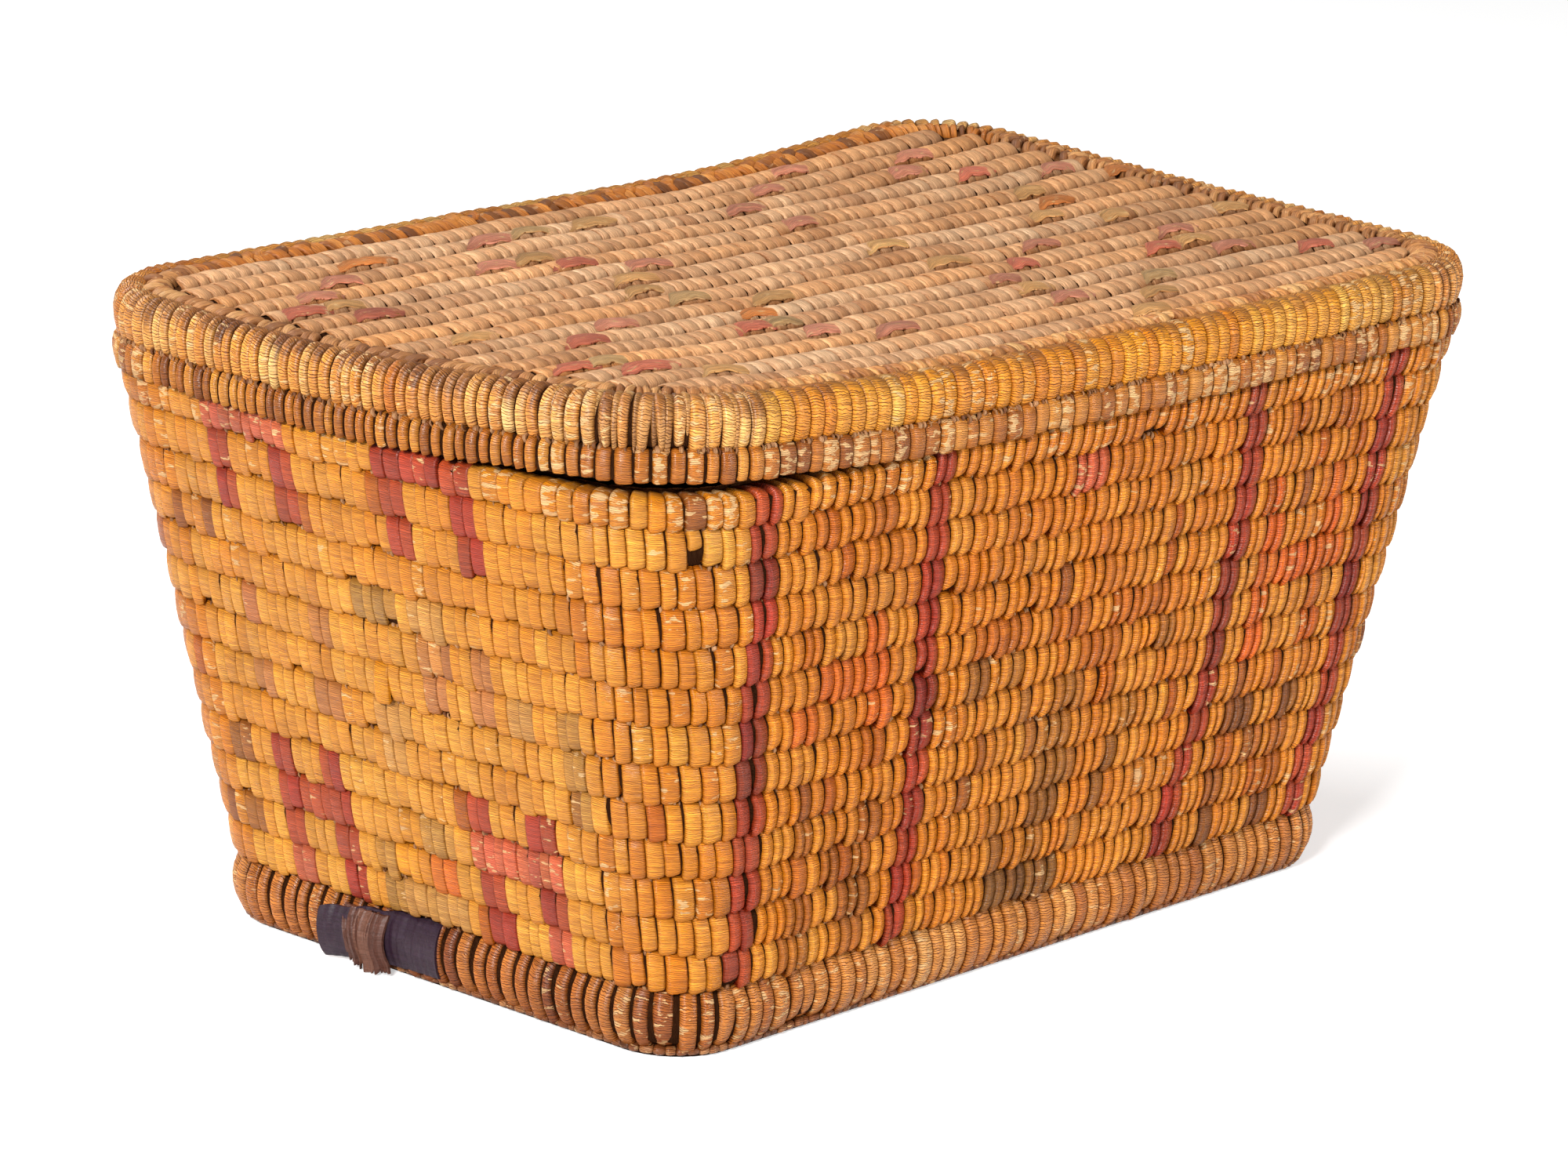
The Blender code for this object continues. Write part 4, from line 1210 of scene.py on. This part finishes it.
def lay_row(
    work, coil, face, tints_at, across, slant, amp, calm=0.0, pitch=5.8 * MM, faint=0.6, polish=0.0, row_light=EVEN_TONE
):
    """One straight coil with its stitches laid across it.

    slant is the mm that a stitch leans, calm and faint are how much of the relief and of the painted shade
    in the joints is gone at its back.
    """
    rng = work.rng
    face_share, face_up, face_light = np.array(face).T[:, :, None]
    share, relief, light = np.array(across).T
    reach = float(end_reach(coil.outline, coil.y)) - 1.0 * MM
    count = max(4, int(round(2 * reach / pitch)))
    one_each = (count, 1, 1)
    edges = np.linspace(-reach, reach, count + 1)
    edges[1:-1] += rng.uniform(-0.22, 0.22, count - 1) * pitch
    width = np.diff(edges)[:, None, None]
    order = np.linspace(0.0, 1.0, len(face))[:, None]
    lean = slant + rng.normal(0.0, 0.7, one_each)
    x = edges[:-1][:, None, None] - 0.2 * MM + (width + 0.4 * MM) * share + lean * MM * (order - 0.5)
    amp = amp * (1.0 - calm * np.clip(order * 1.7, 0.0, 1.0))
    out = (face_up + relief * amp + humps(coil, x)) * MM
    out = out + rng.normal(0.0, 0.10, one_each) * MM
    y = row_place(coil, face_share, x) + relief * 0.25 * MM * np.sign(face_share)
    x = kept_inside(coil.outline, x, y, 0.1 * MM)
    points = np.stack((x, y, coil.top + out + coil.lift(x, y)), -1)

    run = run_along(face_share * coil.half_width / MM, face_up)
    maps = weave_maps(rng, width, share, run)
    # Painted shade in the joints, fading towards the back of the coil
    seam = (1 - light) * (1 - faint * order)
    tints, patch_shadow = tints_at((edges[:-1] + edges[1:]) / 2)
    # Painted highlight and shade across each stitch and over the coil: lit on top, shaded in front and in the hollows
    # between coils
    tone = polished(share, polish) * np.interp(order, ROW_ORDER, row_light)
    # Painted shadow on the front of the coil under a patch
    front = np.clip(1.0 - order * 1.8, 0.0, 1.0)
    shade = face_light * (1 - seam) * (1.0 - patch_shadow[:, None, None] * front)
    mark = np.stack(np.broadcast_arrays(shade, 0.0, rng.uniform(0.0, 1.0, one_each)), -1)
    work.grids(points, maps, tints[:, None, None, :] * tone[..., None], mark, ROOT_SLOT)


def row_core(work, coil, section):
    """The bundle of a straight coil, as one closed rod."""
    share, up = np.array(section).T
    reach = float(end_reach(coil.outline, coil.y)) - 0.8 * MM
    stations = np.linspace(-reach, reach, ROW_STATIONS)[:, None]
    y = row_place(coil, share, stations)
    x = kept_inside(coil.outline, stations, y, 0.4 * MM)
    points = np.stack(np.broadcast_arrays(x, y, coil.top + up * MM + coil.lift(x, y)), -1)
    work.rod(points, np.stack(np.broadcast_arrays(x / MM, np.arange(len(section)) * 3.0), -1))


def lay_patch(work, coil, x_mid, length, colour):
    """A lens of dyed bark laid along a lid coil, its front edge arched over a hollow."""
    rng = work.rng
    columns, rows = 17, 8
    u = np.linspace(0.0, 1.0, columns)[None, :]
    v = np.linspace(0.0, 1.0, rows)[:, None]
    belly = np.sin(math.pi * np.clip(u * 0.94 + 0.03, 0.0, 1.0)) ** 0.9
    arch = np.sin(math.pi * u) ** 1.5
    front = -0.80 + rng.uniform(0.0, 0.20) * arch - 0.04 * np.sin(u * 17.0 + rng.uniform(0.0, 6.0))
    back = front + 0.10 + belly * rng.uniform(0.90, 1.20)
    share = front + (back - front) * v
    skew = rng.uniform(1.0, 3.5)
    x = x_mid + ((u - 0.5) * length + skew * (v - 0.5)) * MM
    y = row_place(coil, share, x)
    loose = rng.uniform(0.25, 0.75) * arch * (1 - v) ** 1.5
    pleats = 0.10 * np.sin(v * 22.0 + rng.uniform(0.0, 6.0)) * belly
    face_share, face_up, _ = np.array(ROW_FACE).T
    up = np.interp(share, face_share, face_up) + humps(coil, x) + 0.42 * belly + loose + pleats - 0.1 * (1 - belly)
    outer = np.stack((x, y, coil.top + up * MM + coil.lift(x, y)), -1)
    inner = outer.copy()
    inner[..., 2] -= 0.35 * MM + 0.1 * MM * belly
    maps = np.stack(np.broadcast_arrays(u * length, v * 10.0), -1) + rng.uniform(0.0, 400.0, 2)
    # Painted shade: the lens is darker at the front of its ends, and its underside gets a low shade mark
    marks = np.stack(np.broadcast_arrays(1.0 - 0.3 * (1 - v) * (1 - belly), 0.10, 0.9), -1)
    streak = rng.normal(1.0, 0.10, (rows, 1, 1))
    work.sheet(outer, inner, maps, np.array(colour) * rng.uniform(0.85, 1.15) * streak, marks, 0.4)


def lid_row_tints(rng, middles, index, age, patches):
    """Colours of the stitches of a lid coil, and how much painted shadow falls on its front under a patch."""
    colours = toned(LID_ROOTS, tones(rng, len(middles), 9, 0.5, 0.28) + age)
    warmth = 0.12 + 0.25 * np.sin(middles * 17.0 + index * 1.3) + 0.2 * np.sin(middles * 41.0 + index * 2.7)
    warmth = np.clip(warmth + 0.35 * (np.abs(middles) / 0.19) ** 3, 0.0, 0.85)
    colours = blended(colours, WARM_ROOT * colours.mean(1, keepdims=True) / 0.45, warmth)
    # Painted shade: the coil is darker towards the right end of the lid, and a little towards its left end
    shade_right = 0.13 * np.clip((middles - 0.07) / 0.10, 0.0, 1.0)
    shade_left = 0.07 * np.clip((-0.09 - middles) / 0.08, 0.0, 1.0)
    patch_shadow = np.zeros(len(middles))
    for x_mid, length, _ in patches:
        patch_shadow = np.maximum(patch_shadow, np.where(np.abs(middles - x_mid) < length * 0.42 * MM, 0.85, 0.0))
    return colours * (1.0 - shade_right - shade_left)[:, None], patch_shadow


def build_lid_rows():
    inside = offset(LID_OUTLINE, -(EDGE_THICKNESS + LID_BORDER_WIDTH + GAP))
    rows = [[] for _ in range(LID_ROWS)]
    for x, y, length, colour in LID_PATCHES:
        index = (y * MM + inside.half_width) / (2 * inside.half_width / LID_ROWS)
        rows[int(np.clip(index, 0, LID_ROWS - 1))].append((x * MM, length, colour))
    for coil, patches in zip(coils_in(inside, LID_LEVEL, lid_lift, LID_ROWS), rows):
        work = Work(300 + coil.index)
        age = work.rng.normal(0.0, 0.15)

        def tints_at(middles):
            return lid_row_tints(work.rng, middles, coil.index, age, patches)

        lay_row(
            work, coil, ROW_FACE, tints_at, ROPE, slant=4.0, amp=1.7, calm=0.80, pitch=5.6 * MM, faint=0.55,
            polish=0.45, row_light=LID_ROW_LIGHT,
        )
        lay_row(work, coil, UNDER_FACE, tints_at, PLAIN, slant=0.4, amp=0.8)
        row_core(work, coil, LID_ROW_SECTION)
        for patch in patches:
            lay_patch(work, coil, *patch)
        name = f"lid_row_{coil.index + 1:02d}"
        work.piece(f"{name}_sewn", "lid", name, (bark, root))


def build_floor():
    border_outline = offset(FOOT_OUTLINE, -FOOT_THICKNESS)
    work = Work(41)
    place = Place(upright(border_outline), FLOOR_TOP)
    seams = Seams(work.rng, border_outline, 0.0052, 0.2)
    tints = toned(ROOTS, work.rng.normal(0.0, 0.4, seams.count))
    lay(work, place, seams, FLOOR_BORDER_FACE, PLAIN, tints, amp=0.35, slot=ROOT_SLOT, round_end=0.0)
    core(work, place, FLOOR_BORDER_SECTION)
    work.piece("floor_border_sewn", "trunk", "floor_border_course", (bark, root))

    inside = offset(border_outline, -FLOOR_BORDER_WIDTH - GAP)
    for coil in coils_in(inside, FLOOR_TOP, no_lift, FLOOR_ROWS):
        work = Work(500 + coil.index)

        def tints_at(middles):
            tone = tones(work.rng, len(middles), 5, 0.5, 0.4)
            return toned(ROOTS, tone), np.zeros(len(middles))

        lay_row(work, coil._replace(top=FLOOR_TOP - 0.0004), FLOOR_FACE, tints_at, PLAIN, slant=0.6, amp=0.5)
        lay_row(work, coil, FLOOR_UNDER_FACE, tints_at, PLAIN, slant=0.6, amp=0.5)
        row_core(work, coil, FLOOR_ROW_SECTION)
        name = f"floor_row_{coil.index + 1:02d}"
        work.piece(f"{name}_sewn", "trunk", name, (bark, root))


# ---------------------------------------------------------------- loose strip on the foot
def foot_strip(work, up, y, z, stand, thickness, colour):
    """A strip that stands out from the foot's short side by some mm, from its heights up the foot in mm."""
    face_out, face_up, _ = np.array(FOOT_FACE[1:-1]).T
    x = -FOOT_OUTLINE.half_length - np.interp(up, face_up, face_out) * MM - stand
    outer = np.stack(np.broadcast_arrays(x, y, z), -1)
    maps = outer[..., 1:] / MM + work.rng.uniform(0, 300, 2)
    work.sheet(outer, outer + (thickness, 0.0, 0.0), maps, colour, (1.0, 0.0, 0.5))


def build_strip():
    """The loose end of a dark strip round the foot, and the frayed flap folded over it."""
    work = Work(61)
    u = np.linspace(0.0, 1.0, 60)[None, :]
    v = np.linspace(0.0, 1.0, 14)[:, None]
    first, last = STRIP_ENDS
    y = (first + (last - first) * u) * MM
    sag = (1 - u) ** 2
    up = 0.3 - 2.6 * sag + v * (STRIP_HEIGHT - 0.8 * sag)
    pleats = 0.16 * np.sin(u * 95.0 + 1.5 * np.sin(v * 3.0)) + 0.12 * np.sin(u * 41.0)
    stand = (1.0 + 6.0 * (1 - u) ** 3 + pleats) * MM
    foot_strip(work, up, y, SOLE_HEIGHT + up * MM + 0.4 * MM * np.sin(u * 23.0) * v, stand, 0.8 * MM, NAVY)
    work.piece("foot_strip_wrap", "trunk", "foot_loose_strip", (dark_bark, root))

    work = Work(work.rng)
    for first, last, length, colour in FLAPS:
        columns = 22
        u = np.linspace(0.0, 1.0, columns)[None, :]
        v = np.linspace(0.0, 1.0, 18)[:, None]
        fray = work.rng.uniform(0.0, 1.0, (1, columns)) * 3.0 + 0.8 * np.sin(u * 9.0)
        up = np.maximum(15.6 - (1 - v) * (length - fray), -3.2)
        y = (first + (last - first) * u - 1.6 * (1 - v) + 0.5 * np.sin(v * 5.0 + first)) * MM
        pleats = 0.55 * np.sin(u * 19.0 + first) + 0.3 * np.sin(u * 43.0)
        bulge = 1.1 * np.sin(math.pi * u)
        stand = 2.6 + bulge + pleats * (1 - 0.5 * v) + 1.5 * (1 - v) ** 2 + 0.9 * np.sin(v * math.pi)
        foot_strip(work, np.clip(up, 0.3, 17.0), y, SOLE_HEIGHT + up * MM, stand * MM, 0.9 * MM, colour)
    work.piece("foot_strip_flap", "trunk", "foot_strip_fold", (dark_bark, root))


# ---------------------------------------------------------------- room, camera and light
def build_room():
    mesh = bpy.data.meshes.new("floor")
    size = ROOM_SIZE
    corners = [(-size, -size, 0.0), (size, -size, 0.0), (size, size, 0.0), (-size, size, 0.0)]
    mesh.from_pydata(corners, [], [(0, 1, 2, 3)])
    ground = linked("floor", mesh)
    paint = Nodes("pale_floor")
    seen = paint.put("ShaderNodeLightPath").outputs["Is Camera Ray"]
    sockets = {"Base Color": FLOOR_COLOUR, "Roughness": 0.9, "Specular IOR Level": 0.1, "Emission Color": WHITE}
    paint.set(paint.shader, {**sockets, "Emission Strength": paint.times(seen, FLOOR_GLOW)})
    mesh.materials.append(paint.made)

    world = bpy.data.worlds.new("studio")
    bpy.context.scene.world = world
    world.use_nodes = True
    tree = world.node_tree
    tree.nodes.clear()
    path, room, white, mix, out = (
        tree.nodes.new(f"ShaderNode{kind}")
        for kind in ("LightPath", "Background", "Background", "MixShader", "OutputWorld")
    )
    for node, colour, strength in ((room, ROOM_COLOUR, WORLD_STRENGTH), (white, WHITE, 1.0)):
        node.inputs["Color"].default_value = colour
        node.inputs["Strength"].default_value = strength
    tree.links.new(path.outputs["Is Camera Ray"], mix.inputs[0])
    tree.links.new(room.outputs[0], mix.inputs[1])
    tree.links.new(white.outputs[0], mix.inputs[2])
    tree.links.new(mix.outputs[0], out.inputs[0])

    for name, place, size, power in LAMPS:
        lamp = bpy.data.lights.new(name, "AREA")
        lamp.shape = "SQUARE"
        lamp.size = size
        lamp.energy = power
        made = linked(name, lamp)
        made.location = place
        made.rotation_euler = (LIT_POINT - Vector(place)).to_track_quat("-Z", "Y").to_euler()


def build_camera():
    level = math.cos(CAMERA_ELEVATION)
    back = Vector(
        (math.sin(CAMERA_AZIMUTH) * level, -math.cos(CAMERA_AZIMUTH) * level, math.sin(CAMERA_ELEVATION))
    )
    right = Vector((0.0, 0.0, 1.0)).cross(back).normalized()
    up = back.cross(right)
    rolled_right = right * math.cos(CAMERA_ROLL) + up * math.sin(CAMERA_ROLL)
    rolled_up = -right * math.sin(CAMERA_ROLL) + up * math.cos(CAMERA_ROLL)
    data = bpy.data.cameras.new("camera")
    data.lens = CAMERA_LENS
    data.sensor_width = SENSOR_WIDTH
    data.sensor_fit = "HORIZONTAL"
    data.clip_start = 0.05
    data.clip_end = 50.0
    made = linked("camera", data)
    turned = Matrix((rolled_right, rolled_up, back)).transposed().to_4x4()
    made.matrix_world = Matrix.Translation(CAMERA_PLACE) @ turned
    bpy.context.scene.camera = made


build_camera()
build_room()
build_sole()
build_foot()
build_floor()
build_walls()
build_strip()
build_skirt()
build_edge()
build_border()
build_lid_rows()
bpy.context.scene.view_settings.view_transform = "Standard"
bpy.context.view_layer.update()
